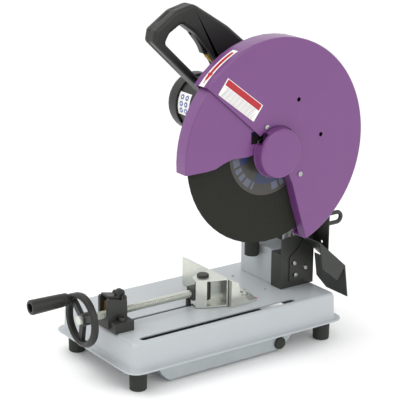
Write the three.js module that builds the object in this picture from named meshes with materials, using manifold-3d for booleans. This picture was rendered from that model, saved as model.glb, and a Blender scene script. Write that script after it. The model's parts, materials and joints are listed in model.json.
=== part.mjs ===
// Bench cut-off saw for metal: a pressed-steel base with a quick-action vice, and a sprung head that carries
// the motor, the gear case, a 355 mm abrasive wheel and its guards.
//
// Millimetres, +Z up, +Y towards the back, +X to the side that the wheel is on. The model is laid out about
// the middle of the base, and its origin is moved to the middle of its bounding box at the end.

import * as THREE from 'three';
import { mergeVertices } from 'three/addons/utils/BufferGeometryUtils.js';
import Module from 'manifold-3d';

const wasm = await Module();
wasm.setup();

// ---------------------------------------------------------------- driving sizes

const GAP = 0.3; // clearance between pieces that touch
const RUNNING = 0.25; // radial clearance of a piece that turns on another

const BASE_LENGTH = 492;
const BASE_WIDTH = 279.4;
const BASE_TOP = 94.6;
const BASE_SHEET = 2.5;
const BASE_CORNER = 26;
const BASE_FILLET = 8;
const WALL_INSET = 12.5; // foot of the tray's wall, in from the flange's edge
const TOP_INSET = 14; // top of the wall
const FLANGE_THICKNESS = 3;

const FOOT_HEIGHT = 41; // underside of the tray's flange above the bench
const FOOT_RADIUS = 16.5;
const FOOT_COLLAR = 17.5;
const FOOT_INSET_X = 33;
const FOOT_INSET_Y = 34;
const FOOT_BAR_WIDTH = 26;
const SCREW_M6 = 3;

const PAN_FRONT = -176;
const PAN_REAR = 142;
const PAN_HALF_WIDTH = 118;
const PAN_DEPTH = 35;
const PAN_SHEET = 1.5;
const PAN_RIM = 14;

const WHEEL_RADIUS = 177.5;
const WHEEL_THICKNESS = 3.2;
const WHEEL_X = 106; // middle plane of the wheel
const WHEEL_BORE = 12.7;
const WHEEL_SLOT_WIDTH = 14;
const WHEEL_SLOT_FRONT = -208;
const WHEEL_SLOT_REAR = 142;
const SPINDLE = { y: 70.3, z: 403.5 };
const SPINDLE_RADIUS = 8.4;

const PIVOT = { y: 206, z: 192 };
const PIVOT_RADIUS = 10;
const HEAD_SWING = 44; // degrees, from the top stop to the bottom stop
const BARREL_LEFT = -30;
const BARREL_RIGHT = 12;
const BARREL_RADIUS = 22;
const BUSH_WALL = 3;

const GEAR_MODULE = 1.75;
const GEAR_TEETH = 42;
const PINION_TEETH = 12;
const GEAR_FACE = 16;
const GEAR_X = 56;
const MOTOR_LEAN = 7.7; // degrees that the motor's axis leans forward from above the spindle
const MOTOR_RADIUS = 52;
const MOTOR_WALL = 4.5;
const MOTOR_REAR = -98;
const END_CAP_RADIUS = 56.5;
const END_CAP_LENGTH = 30;
const CORE_RADIUS = 26.4;
const SHAFT_RADIUS = 6;

const ARM_THICKNESS = 36;
const CASE_END = 88;
const CASE_WALL = 6;

const GUARD_FACE_X = 132.3;
const GUARD_SHEET = 2;
const GUARD_RADIUS = 202.5;
const GUARD_CENTRE = { y: 71.7, z: 409.9 };
const GUARD_DEPTH = 38;
const GUARD_FRONT_ANGLE = 140;
const GUARD_TAIL_ANGLE = -68;
const HUB_CAP_RADIUS = 46;
const HUB_CAP_HEIGHT = 18;
const HUB_FLANGE = 51;
const HUB_TUBE = 30;
const LOWER_GUARD_RADIUS = 196;
const LOWER_GUARD_SHEET = 1.6;
const LOWER_GUARD_REACH = 84; // degrees of rim that the movable guard covers

const HANDLE_X = 20; // middle plane of the D-handle
const HANDLE_WIDTH = 34;
const TRIGGER_TRAVEL = 6;
const LOCK_TRAVEL = 4;

const SCREW_X = 30; // vice screw
const SCREW_Z = 122.5;
const SCREW_RADIUS = 7.25;
const GUIDE_SLOT_X = 20; // slot in the table that keeps the vice straight
const GUIDE_SLOT_WIDTH = 8;
const GUIDE_SLOT_FRONT = -189;
const GUIDE_SLOT_REAR = 2;
const JAW_PIN_Y = -17;
const JAW_PIN_RADIUS = 6;
const JAW_FACE_Y = 15; // the face that meets the work
const JAW_TOP = 151;
const JAW_LEFT = -80;
const JAW_RIGHT = 67;
const JAW_SHEET = 3;
const WORK_GAP = 1.5; // between jaw and fence as the vice stands
const FENCE_TOP = 148;
const FENCE_RIGHT = 76;
const FENCE_SHEET = 4;
const FENCE_DEPTH = 64;
const FENCE_PIVOT = { x: -48, y: 34 };
const FENCE_CLAMP = { x: 34, y: 73 };
const FENCE_BOLT = 4.8;

const BRACKET_FRONT = -237; // vice bracket
const BRACKET_REAR = -196;
const BRACKET_HALF = 17;
const BRACKET_FOOT_HALF = 35;
const BRACKET_HIGH = 157; // its top slopes down to the back
const BRACKET_LOW = 147;
const HANDWHEEL_Y = -281;
const HANDWHEEL_RADIUS = 44.5; // middle of the rim
const RIM_SECTION = 6.5;
const RIM_DEPTH = 15;
const CRANK_RADIUS = 46.5;
const CRANK_ANGLE = 139.6;
const GRIP_LENGTH = 76;

const STEEL_BRACKET_SHEET = 3.5;
const CHUTE_SHEET = 2;

const RADIANS = Math.PI / 180;

// ---------------------------------------------------------------- geometry helpers

// A closed solid from any closed three.js geometry, with its faces turned outwards.
function solid(geometry) {
  const bare = geometry.index ? geometry.toNonIndexed() : geometry.clone();
  bare.deleteAttribute('normal');
  bare.deleteAttribute('uv');
  const merged = mergeVertices(bare, 1e-4);
  const triVerts = new Uint32Array(merged.index.array);
  const build = () => new wasm.Manifold(new wasm.Mesh({
    numProp: 3,
    vertProperties: merged.attributes.position.array,
    triVerts,
  }));
  const made = build();
  if (made.volume() >= 0) return made;
  for (let i = 0; i < triVerts.length; i += 3) {
    [triVerts[i + 1], triVerts[i + 2]] = [triVerts[i + 2], triVerts[i + 1]];
  }
  return build();
}

function join(...solids) {
  return solids.reduce((a, b) => a.add(b));
}

function cut(body, ...tools) {
  return tools.reduce((a, b) => a.subtract(b), body);
}

function geometryOf(body) {
  const mesh = body.getMesh();
  const geometry = new THREE.BufferGeometry();
  const positions = new Float32Array(mesh.vertProperties);
  geometry.setAttribute('position', new THREE.BufferAttribute(positions, 3));
  geometry.setIndex(new THREE.BufferAttribute(new Uint32Array(mesh.triVerts), 1));
  const flat = geometry.toNonIndexed();
  flat.computeVertexNormals();
  return flat;
}

function box(x0, x1, y0, y1, z0, z1) {
  const geometry = new THREE.BoxGeometry(x1 - x0, y1 - y0, z1 - z0);
  geometry.translate((x0 + x1) / 2, (y0 + y1) / 2, (z0 + z1) / 2);
  return solid(geometry);
}

// Turned piece on a line along `axis` through `at`: profile points are [distance along the axis, radius].
function turned(axis, at, profile, segments = 20, phase = 0) {
  const points = profile.map(([along, radius]) => new THREE.Vector2(Math.max(radius, 0), along));
  const geometry = new THREE.LatheGeometry(points, segments, phase);
  if (axis === 'x') geometry.rotateZ(-Math.PI / 2);
  if (axis === 'z') geometry.rotateX(Math.PI / 2);
  geometry.translate(at.x ?? 0, at.y ?? 0, at.z ?? 0);
  return solid(geometry);
}

function rod(axis, at, from, to, radius, segments = 16, phase = 0) {
  return turned(axis, at, [[from, 0], [from, radius], [to, radius], [to, 0]], segments, phase);
}

function ring(axis, at, from, to, inner, outer, segments = 20) {
  const profile = [[from, inner], [from, outer], [to, outer], [to, inner], [from, inner]];
  return turned(axis, at, profile, segments);
}

function hexagon(axis, at, from, to, acrossCorners) {
  return rod(axis, at, from, to, acrossCorners, 6);
}

function shapeOf(points) {
  return new THREE.Shape(points.map(([u, v]) => new THREE.Vector2(u, v)));
}

const BASIS = {
  x: new THREE.Matrix4().makeBasis(
    new THREE.Vector3(0, 1, 0), new THREE.Vector3(0, 0, 1), new THREE.Vector3(1, 0, 0)),
  y: new THREE.Matrix4().makeBasis(
    new THREE.Vector3(0, 0, 1), new THREE.Vector3(1, 0, 0), new THREE.Vector3(0, 1, 0)),
  z: new THREE.Matrix4(),
};

// A flat outline given thickness along an axis. The outline is in (Y, Z) for x, (Z, X) for y, (X, Y) for z.
function slab(axis, outline, from, to, curveSegments = 24) {
  const shape = outline instanceof THREE.Shape ? outline : shapeOf(outline);
  const geometry = new THREE.ExtrudeGeometry(shape, {
    depth: to - from,
    bevelEnabled: false,
    curveSegments,
  });
  geometry.translate(0, 0, from);
  geometry.applyMatrix4(BASIS[axis]);
  return solid(geometry);
}

// The tight band round a set of circles [u, v, radius], as an outline.
function bandRound(circles, steps = 20) {
  const points = [];
  for (const [u, v, radius] of circles) {
    for (let i = 0; i < steps; i++) {
      const angle = (i / steps) * 2 * Math.PI;
      points.push([u + radius * Math.cos(angle), v + radius * Math.sin(angle)]);
    }
  }
  points.sort((a, b) => a[0] - b[0] || a[1] - b[1]);
  const turn = (o, a, b) => (a[0] - o[0]) * (b[1] - o[1]) - (a[1] - o[1]) * (b[0] - o[0]);
  const half = (list) => {
    const chain = [];
    for (const p of list) {
      while (chain.length > 1 && turn(chain.at(-2), chain.at(-1), p) <= 1e-6) chain.pop();
      chain.push(p);
    }
    return chain.slice(0, -1);
  };
  return [...half(points), ...half(points.reverse())];
}

function arcPoints(centre, radius, fromDegrees, toDegrees, steps) {
  const points = [];
  for (let i = 0; i <= steps; i++) {
    const angle = (fromDegrees + ((toDegrees - fromDegrees) * i) / steps) * RADIANS;
    points.push([centre[0] + radius * Math.cos(angle), centre[1] + radius * Math.sin(angle)]);
  }
  return points;
}

// An outline with its corners rounded: each point is [u, v] or [u, v, radius].
function rounded(points, radius, steps = 4) {
  const result = [];
  points.forEach(([u, v, own], i) => {
    const corner = new THREE.Vector2(u, v);
    const before = new THREE.Vector2(...points.at(i - 1)).sub(corner);
    const after = new THREE.Vector2(...points[(i + 1) % points.length]).sub(corner);
    const half = Math.acos(before.dot(after) / (before.length() * after.length())) / 2;
    const reach = Math.min((own ?? radius) / Math.tan(half), before.length() * 0.45, after.length() * 0.45);
    const from = corner.clone().addScaledVector(before.normalize(), reach);
    const to = corner.clone().addScaledVector(after.normalize(), reach);
    const curve = new THREE.QuadraticBezierCurve(from, corner, to);
    for (const point of curve.getPoints(steps)) result.push([point.x, point.y]);
  });
  return result;
}

function arcEnd(centre, radius, degrees) {
  const angle = degrees * RADIANS;
  return [centre[0] + radius * Math.cos(angle), centre[1] + radius * Math.sin(angle)];
}

const materials = {
  enamel: { color: 0xbec3c8, roughness: 0.35, metalness: 0.0 },
  panSteel: { color: 0x9fa5a6, roughness: 0.5, metalness: 0.3 },
  black: { color: 0x33352f, roughness: 0.55, metalness: 0.0 },
  castBlack: { color: 0x2f312c, roughness: 0.6, metalness: 0.1 },
  rubber: { color: 0x2b2c29, roughness: 0.85, metalness: 0.0 },
  zinc: { color: 0xb9bfae, roughness: 0.35, metalness: 0.8 },
  steel: { color: 0xc2c4c0, roughness: 0.3, metalness: 0.9 },
  bronze: { color: 0xb08a4a, roughness: 0.4, metalness: 0.8 },
  copper: { color: 0xa05a34, roughness: 0.45, metalness: 0.6 },
  purple: { color: 0x8a6491, roughness: 0.4, metalness: 0.1 },
  abrasive: { color: 0x45453f, roughness: 0.95, metalness: 0.0 },
  yellow: { color: 0xb8a040, roughness: 0.45, metalness: 0.0 },
  carbon: { color: 0x1c1c1c, roughness: 0.8, metalness: 0.0 },
};

const saw = new THREE.Group();

function add(name, body, material) {
  const mesh = new THREE.Mesh(geometryOf(body), new THREE.MeshStandardMaterial(materials[material]));
  mesh.name = name;
  saw.add(mesh);
}

// ---------------------------------------------------------------- base

const halfWidth = BASE_WIDTH / 2;
const halfLength = BASE_LENGTH / 2;
const footX = halfWidth - FOOT_INSET_X;
const footY = halfLength - FOOT_INSET_Y;
const innerTop = BASE_TOP - BASE_SHEET;
const slotX = WHEEL_X + 2;

function roundedRectangle(halfX, halfY, radius, steps = 4) {
  const points = [];
  const corners = [[1, 1, 0], [-1, 1, 90], [-1, -1, 180], [1, -1, 270]];
  for (const [sx, sy, start] of corners) {
    points.push(...arcPoints([sx * (halfX - radius), sy * (halfY - radius)], radius, start, start + 90, steps));
  }
  return points;
}

// A shell lofted through rounded rectangles, [inset, height] each, closed flat at both ends.
function pressing(rings) {
  const loops = rings.map(([inset, z]) => {
    const radius = Math.max(BASE_CORNER - inset, 4);
    return roundedRectangle(halfWidth - inset, halfLength - inset, radius).map(([x, y]) => [x, y, z]);
  });
  const count = loops[0].length;
  const positions = [];
  const face = (a, b, c) => positions.push(...a, ...b, ...c);
  for (let k = 0; k + 1 < loops.length; k++) {
    for (let i = 0; i < count; i++) {
      const j = (i + 1) % count;
      face(loops[k][i], loops[k + 1][i], loops[k + 1][j]);
      face(loops[k][i], loops[k + 1][j], loops[k][j]);
    }
  }
  const lid = (loop, up) => {
    const centre = [0, 0, loop[0][2]];
    for (let i = 0; i < count; i++) {
      const j = (i + 1) % count;
      if (up) face(centre, loop[i], loop[j]);
      else face(centre, loop[j], loop[i]);
    }
  };
  lid(loops[0], true);
  lid(loops.at(-1), false);
  const geometry = new THREE.BufferGeometry();
  geometry.setAttribute('position', new THREE.Float32BufferAttribute(positions, 3));
  return solid(geometry);
}

function trayRings() {
  const flatInset = TOP_INSET + BASE_FILLET;
  const shoulder = BASE_TOP - BASE_FILLET;
  const bend = (radius) => [0, 30, 60, 90].map((t) => [
    flatInset - radius * Math.sin(t * RADIANS),
    shoulder + radius * Math.cos(t * RADIANS),
  ]);
  const flangeTop = FOOT_HEIGHT + FLANGE_THICKNESS;
  return [
    ...bend(BASE_FILLET),
    [WALL_INSET, flangeTop + 4],
    [WALL_INSET - 1, flangeTop + 1.2],
    [WALL_INSET - 3.5, flangeTop],
    [1, flangeTop],
    [0, flangeTop - 1],
    [0, FOOT_HEIGHT + 1],
    [1, FOOT_HEIGHT],
    [WALL_INSET, FOOT_HEIGHT],
    [WALL_INSET + BASE_SHEET, flangeTop],
    ...bend(BASE_FILLET - BASE_SHEET).reverse(),
  ];
}

function slotOutline(x, width, front, rear) {
  return bandRound([[x, front + width / 2, width / 2], [x, rear - width / 2, width / 2]], 20);
}

const bracketMiddle = (BRACKET_FRONT + 4 + BRACKET_REAR + 3) / 2;
const bracketBolts = [[SCREW_X - 26, bracketMiddle], [SCREW_X + 26, bracketMiddle]];
const tableHoles = [[-62, 122], [32, 130]]; // two pierced holes in the table

function throughTable(x, y, radius) {
  return rod('z', { x, y }, innerTop - 6, BASE_TOP + 6, radius, 16);
}

// Flat bar across each end of the underside, welded to the flange, that the feet screw to.
function footBar(side) {
  const reach = halfWidth - 4;
  const middle = side * (footY - 3);
  return box(-reach, reach, middle - FOOT_BAR_WIDTH / 2, middle + FOOT_BAR_WIDTH / 2, FOOT_HEIGHT + 0.5,
    FOOT_HEIGHT + FLANGE_THICKNESS - 0.3);
}

const footHoles = [[-1, -1], [1, -1], [-1, 1], [1, 1]].map(([sx, sy]) => rod('z',
  { x: sx * footX, y: sy * footY }, FOOT_HEIGHT - 5, FOOT_HEIGHT + 9, SCREW_M6 + GAP, 12));

add('base_tray', cut(
  join(pressing(trayRings()), footBar(-1), footBar(1)),
  ...footHoles,
  slab('z', slotOutline(slotX, WHEEL_SLOT_WIDTH, WHEEL_SLOT_FRONT, WHEEL_SLOT_REAR), innerTop - 5, BASE_TOP + 5),
  slab('z', slotOutline(GUIDE_SLOT_X, GUIDE_SLOT_WIDTH, GUIDE_SLOT_FRONT, GUIDE_SLOT_REAR), innerTop - 5,
    BASE_TOP + 5),
  ...tableHoles.map(([x, y]) => throughTable(x, y, 3)),
  ...bracketBolts.map(([x, y]) => throughTable(x, y, 4 + GAP)),
  throughTable(FENCE_PIVOT.x, FENCE_PIVOT.y, FENCE_BOLT + GAP),
), 'enamel');

const feet = [
  { name: 'foot_front_left', x: -footX, y: -footY },
  { name: 'foot_front_right', x: footX, y: -footY },
  { name: 'foot_rear_left', x: -footX, y: footY },
  { name: 'foot_rear_right', x: footX, y: footY },
];
const footTop = FOOT_HEIGHT - GAP;

for (const { name, ...at } of feet) {
  add(name, turned('z', at, [
    [0, 8],
    [0, FOOT_RADIUS - 1.5],
    [1.5, FOOT_RADIUS - 0.5],
    [footTop - 9, FOOT_RADIUS],
    [footTop - 7, FOOT_COLLAR],
    [footTop, FOOT_COLLAR],
    [footTop, SCREW_M6 + GAP],
    [12, SCREW_M6 + GAP],
    [12, 8],
    [0, 8],
  ], 16), 'rubber');
}

// The pan hangs under the tray on its rim: a curved front, a flat floor and a sloping back.
const panTop = FOOT_HEIGHT - GAP;
const panFloor = panTop - PAN_DEPTH;

function panOutline(inset) {
  const floor = panFloor + inset;
  const front = arcPoints([PAN_FRONT + 46, panTop + 6], 46 - inset, 188, 245, 8);
  return [
    ...front,
    [PAN_FRONT + 42, floor],
    [PAN_REAR - 42 - inset, floor],
    [PAN_REAR - 34 - inset, floor + 3],
    [PAN_REAR - inset, panTop],
    [PAN_REAR - inset, panTop + 4],
    [PAN_FRONT + inset, panTop + 4],
  ];
}

const plugAt = { y: 100, z: 19 };
const panInner = PAN_HALF_WIDTH - PAN_SHEET;

function chipPan() {
  const above = box(-200, 200, -300, 300, panTop, panTop + 60);
  const outer = cut(slab('x', panOutline(0), -PAN_HALF_WIDTH, PAN_HALF_WIDTH), above);
  const hollow = slab('x', panOutline(PAN_SHEET), -panInner, panInner);
  const rim = box(-PAN_HALF_WIDTH - PAN_RIM, PAN_HALF_WIDTH + PAN_RIM, PAN_FRONT, PAN_REAR,
    panTop - PAN_SHEET, panTop);
  const drain = rod('x', plugAt, panInner - 3, PAN_HALF_WIDTH + 3, 5 + GAP, 16);
  return cut(join(outer, rim), hollow, drain);
}

add('chip_pan', chipPan(), 'panSteel');

add('pan_plug', turned('x', plugAt, [
  [panInner - 4, 0],
  [panInner - 4, 5],
  [PAN_HALF_WIDTH + GAP, 5],
  [PAN_HALF_WIDTH + GAP, 12],
  [PAN_HALF_WIDTH + 4, 12],
  [PAN_HALF_WIDTH + 5, 11],
  [PAN_HALF_WIDTH + 5, 0],
]), 'rubber');

// ---------------------------------------------------------------- head pivot

const deck = BASE_TOP + GAP; // what stands on the table
const stand = { left: -83, right: 20, front: 157, rear: 232, top: 166 };
const earLeft = -62;
const earThickness = 6;
const buffer = { x: -28, y: 142, radius: 14.5, top: 188, bottom: 146, stud: 156 };

function pivotBracket() {
  const sheet = STEEL_BRACKET_SHEET;
  const front = box(stand.left, stand.right, stand.front, stand.front + sheet, deck, stand.top);
  const top = box(stand.left, stand.right, stand.front, stand.rear, stand.top - sheet, stand.top);
  const left = box(stand.left, stand.left + sheet, stand.front, stand.rear, deck, stand.top);
  const right = box(stand.right - sheet, stand.right, stand.front, stand.rear, deck, stand.top);
  const earOutline = bandRound([
    [PIVOT.y, PIVOT.z, 22],
    [PIVOT.y - 21, stand.top - 1, 1],
    [PIVOT.y + 21, stand.top - 1, 1],
  ]);
  const ears = [earLeft, stand.right - earThickness].map((x) => slab('x', earOutline, x, x + earThickness));
  const pivotHole = rod('x', PIVOT, stand.left, stand.right + 9, PIVOT_RADIUS + GAP);
  const bufferHole = rod('y', { x: buffer.x, z: buffer.stud }, stand.front - 9, stand.front + 9, 4 + GAP, 16);
  return cut(join(front, top, left, right, ...ears), pivotHole, bufferHole);
}

add('pivot_bracket', pivotBracket(), 'enamel');

add('pivot_bolt', join(
  hexagon('x', PIVOT, earLeft - GAP - 8, earLeft - GAP, 16),
  rod('x', PIVOT, earLeft - 1, stand.right + 14, PIVOT_RADIUS, 32),
), 'zinc');

add('pivot_nut', cut(
  hexagon('x', PIVOT, stand.right + GAP, stand.right + 10, 17),
  rod('x', PIVOT, stand.right - 5, stand.right + 20, PIVOT_RADIUS + GAP, 32),
), 'zinc');

add('stop_buffer', join(
  turned('z', buffer, [
    [buffer.bottom, 0],
    [buffer.bottom, buffer.radius - 1],
    [buffer.bottom + 1, buffer.radius],
    [buffer.top - 1, buffer.radius],
    [buffer.top, buffer.radius - 1],
    [buffer.top, 0],
  ]),
  rod('y', { x: buffer.x, z: buffer.stud }, buffer.y, stand.front + STEEL_BRACKET_SHEET + 6, 4, 16),
), 'rubber');

// Torsion spring that lifts the head, coiled round the pivot bolt.
function returnSpring() {
  const wire = 2;
  const coil = 15;
  const start = earLeft + earThickness + wire + 1;
  const end = BARREL_LEFT - wire - 1;
  const turns = 4;
  class Helix extends THREE.Curve {
    getPoint(t, target = new THREE.Vector3()) {
      const angle = t * turns * 2 * Math.PI;
      return target.set(start + (end - start) * t, PIVOT.y + coil * Math.cos(angle),
        PIVOT.z + coil * Math.sin(angle));
    }
  }
  const section = new THREE.Shape();
  section.absarc(0, 0, wire, 0, 2 * Math.PI);
  return solid(new THREE.ExtrudeGeometry(section, {
    steps: turns * 8,
    extrudePath: new Helix(),
    curveSegments: 4,
  }));
}

add('return_spring', returnSpring(), 'steel');

// ---------------------------------------------------------------- spark chute

const sideX = 52; // outer face of the bracket's side plate
const rearWall = { y: 233, right: 97, bottom: 173, top: 246 };
const chuteScrews = [[183.5, 145], [211.4, 131], [186.8, 119.5]];
const eyeAt = { x: 88, y: 258, z: 234 };

function chuteBracket() {
  const sheet = CHUTE_SHEET;
  const front = box(stand.right + GAP, sideX, 153, 153 + sheet, deck, stand.top);
  const side = slab('x', [
    [153, deck],
    [rearWall.y, deck],
    [rearWall.y, rearWall.top],
    [rearWall.y - 14, rearWall.top],
    [192, 200],
    [153, 196],
  ], sideX - sheet, sideX);
  const rear = box(sideX - sheet, rearWall.right, rearWall.y - sheet, rearWall.y, rearWall.bottom, rearWall.top);
  const pinHole = rod('y', { x: 77.4, z: 186 }, rearWall.y - 9, rearWall.y + 9, 3, 16);
  const holes = chuteScrews.map(([y, z]) => rod('x', { y, z }, sideX - 9, sideX + 9, 2.5 + GAP, 12));
  return cut(join(front, side, rear), pinHole, ...holes);
}

add('chute_bracket', chuteBracket(), 'castBlack');

const chuteLeft = sideX + GAP;
const chuteRight = 113;
const chuteFlapLeft = 22;
// The chute's lip hangs clear behind the base's rear edge.
const chuteSlope = [[196.5, 201], [halfLength + 17, 141]];

function sparkChute() {
  const sheet = CHUTE_SHEET;
  const [[y0, z0], [y1, z1]] = chuteSlope;
  const roof = slab('x', [[y0, z0], [y0 - 1.4, z0 - sheet], [y1 - 1.4, z1 - sheet], [y1, z1]], chuteLeft, chuteRight);
  const flap = cut(
    slab('x', [[y1 - 3, z1 + 1], [y1, z1], [y1 + 9, 75], [y1 + 7, 75]], chuteFlapLeft, chuteRight),
    slab('y', [[60, chuteFlapLeft - 9], [93, chuteFlapLeft - 9], [93, chuteFlapLeft], [75, chuteFlapLeft + 28],
      [60, chuteFlapLeft + 28]], y1 - 9, y1 + 20),
  );
  const rightCheek = slab('x', [[y0, z0], [205, 147], [244, 114], [y1, z1]], chuteRight - sheet, chuteRight);
  const underRoof = (y) => z0 + ((y - y0) * (z1 - z0)) / (y1 - y0) - sheet;
  const leftCheek = slab('x', [[172, 158], [192, 172], [205, underRoof(205) + 0.2], [228, underRoof(228) + 0.2],
    [228, 122], [200, 108], [172, 108]], chuteLeft, chuteLeft + sheet);
  const slots = chuteScrews.map(([y, z]) => slab('x', bandRound([[y - 5, z, 2.5 + GAP], [y, z, 2.5 + GAP]], 12),
    chuteLeft - 5, chuteLeft + 7));
  return cut(join(roof, flap, rightCheek, leftCheek), ...slots);
}

add('spark_chute', sparkChute(), 'castBlack');

// Eye for the chain that holds the head down when the saw is carried.
function chainEye() {
  const radius = 4.2;
  const bend = 10;
  const path = new THREE.CurvePath();
  const start = new THREE.Vector3(eyeAt.x, rearWall.y + GAP, eyeAt.z + bend);
  const top = new THREE.Vector3(eyeAt.x, eyeAt.y, eyeAt.z + bend);
  path.add(new THREE.LineCurve3(start, top));
  const half = 8;
  for (let i = 0; i < half; i++) {
    const at = (k) => {
      const angle = (90 - (k * 180) / half) * RADIANS;
      return new THREE.Vector3(eyeAt.x, eyeAt.y + bend * Math.cos(angle), eyeAt.z + bend * Math.sin(angle));
    };
    path.add(new THREE.LineCurve3(at(i), at(i + 1)));
  }
  const low = new THREE.Vector3(eyeAt.x, eyeAt.y, eyeAt.z - bend);
  path.add(new THREE.LineCurve3(low, new THREE.Vector3(eyeAt.x, rearWall.y + GAP, eyeAt.z - bend)));
  const section = new THREE.Shape();
  section.absarc(0, 0, radius, 0, 2 * Math.PI);
  const eye = solid(new THREE.ExtrudeGeometry(section, { steps: 26, extrudePath: path, curveSegments: 5 }));
  return cut(eye, box(0, 200, 100, rearWall.y + GAP, 100, 300));
}

add('chain_eye', chainEye(), 'castBlack');

// ---------------------------------------------------------------- fence

const fenceFront = JAW_FACE_Y + WORK_GAP;
const fenceBack = fenceFront + FENCE_DEPTH;
const fenceFloor = deck + FENCE_SHEET;

function fence() {
  const wall = box(JAW_LEFT, FENCE_RIGHT, fenceFront, fenceFront + FENCE_SHEET, deck, FENCE_TOP);
  const foot = slab('z', [
    [JAW_LEFT, fenceFront],
    [FENCE_RIGHT, fenceFront],
    [FENCE_RIGHT, fenceFront + 30],
    [FENCE_RIGHT - 3, fenceBack - 4],
    [FENCE_CLAMP.x + 12, fenceBack + 6],
    [FENCE_CLAMP.x - 14, fenceBack + 4],
    [FENCE_PIVOT.x - 6, FENCE_PIVOT.y + 16],
    [JAW_LEFT, FENCE_PIVOT.y + 4],
  ], deck, fenceFloor);
  const gusset = slab('x', [
    [fenceFront, deck],
    [fenceFront + 44, deck],
    [fenceFront + 44, fenceFloor + 0.6],
    [fenceFront + 21, FENCE_TOP - 30],
    [fenceFront + 17, FENCE_TOP - 7],
    [fenceFront + 3, FENCE_TOP],
    [fenceFront, FENCE_TOP],
  ], FENCE_RIGHT - FENCE_SHEET, FENCE_RIGHT);
  const holes = [FENCE_PIVOT, FENCE_CLAMP].map((at) => throughTable(at.x, at.y, FENCE_BOLT + RUNNING));
  return cut(join(wall, foot, gusset), ...holes);
}

add('fence', fence(), 'zinc');

function fenceBolt(at, bottom) {
  const seat = fenceFloor + GAP;
  return join(
    rod('z', at, bottom, seat + 1, FENCE_BOLT, 20),
    rod('z', at, seat, seat + 2, 10.5, 24),
    hexagon('z', at, seat + 1.5, seat + 8, 8.5),
  );
}

add('fence_pivot_bolt', fenceBolt(FENCE_PIVOT, innerTop - 12), 'zinc');
add('fence_clamp_bolt', fenceBolt(FENCE_CLAMP, deck), 'zinc');

// ---------------------------------------------------------------- vice

const pinAt = { x: SCREW_X, y: JAW_PIN_Y };
const screwAt = { x: SCREW_X, z: SCREW_Z };
const jawBottom = deck + 0.7;

function viceJaw() {
  const plate = box(JAW_LEFT, JAW_RIGHT, JAW_FACE_Y - JAW_SHEET, JAW_FACE_Y, jawBottom, JAW_TOP);
  const flange = [
    [SCREW_X - 9, JAW_PIN_Y - 17.5],
    [SCREW_X + 11.5, JAW_PIN_Y - 24.5],
    [SCREW_X + 23, JAW_PIN_Y - 6.5],
    [JAW_RIGHT, JAW_FACE_Y - 1],
    [SCREW_X - 23, JAW_FACE_Y - 1],
  ];
  const top = slab('z', flange, JAW_TOP - JAW_SHEET, JAW_TOP);
  const floor = slab('z', flange, jawBottom, jawBottom + JAW_SHEET);
  const [, front, side] = flange;
  const web = slab('z', [front, side, [side[0] - 2.6, side[1] + 1.6], [front[0] - 0.4, front[1] + 3]],
    jawBottom, JAW_TOP);
  const pinHole = rod('z', pinAt, deck - 5, JAW_TOP + 5, JAW_PIN_RADIUS + RUNNING, 24);
  return cut(join(plate, top, floor, web), pinHole);
}

add('vice_jaw', viceJaw(), 'zinc');

add('jaw_pin', turned('z', pinAt, [
  [deck, 0],
  [deck, JAW_PIN_RADIUS],
  [JAW_TOP + GAP, JAW_PIN_RADIUS],
  [JAW_TOP + GAP, 11.5],
  [JAW_TOP + 4, 11.5],
  [JAW_TOP + 5, 10],
  [JAW_TOP + 5, 0],
], 16), 'castBlack');

// Block that pushes the jaw: it turns on the pin, holds the screw's end, and has a tongue in the guide slot.
const neckFront = JAW_PIN_Y - 30;
const screwEnd = JAW_PIN_Y - 9;
const tongueHalf = GUIDE_SLOT_WIDTH / 2 - 0.4;

add('screw_block', cut(
  join(
    rod('z', pinAt, SCREW_Z - 16, SCREW_Z + 16, 15, 32),
    box(SCREW_X - 10.4, SCREW_X + 10.4, neckFront, JAW_PIN_Y, SCREW_Z - 12, SCREW_Z + 12),
    box(GUIDE_SLOT_X - tongueHalf, GUIDE_SLOT_X + tongueHalf, neckFront, neckFront + 8, innerTop - 8, SCREW_Z),
  ),
  rod('z', pinAt, SCREW_Z - 30, SCREW_Z + 30, JAW_PIN_RADIUS + GAP, 24),
  rod('y', screwAt, neckFront - 5, screwEnd, SCREW_RADIUS + RUNNING, 24),
), 'castBlack');

const wheelHalf = RIM_DEPTH / 2;

add('vice_screw', turned('y', screwAt, [
  [HANDWHEEL_Y - 3, 0],
  [HANDWHEEL_Y - 3, 5],
  [HANDWHEEL_Y + 18, 5],
  [HANDWHEEL_Y + 18, SCREW_RADIUS],
  [screwEnd - GAP, SCREW_RADIUS],
  [screwEnd - GAP, 0],
], 24), 'zinc');

const crank = {
  x: SCREW_X + CRANK_RADIUS * Math.cos(CRANK_ANGLE * RADIANS),
  z: SCREW_Z + CRANK_RADIUS * Math.sin(CRANK_ANGLE * RADIANS),
};

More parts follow.
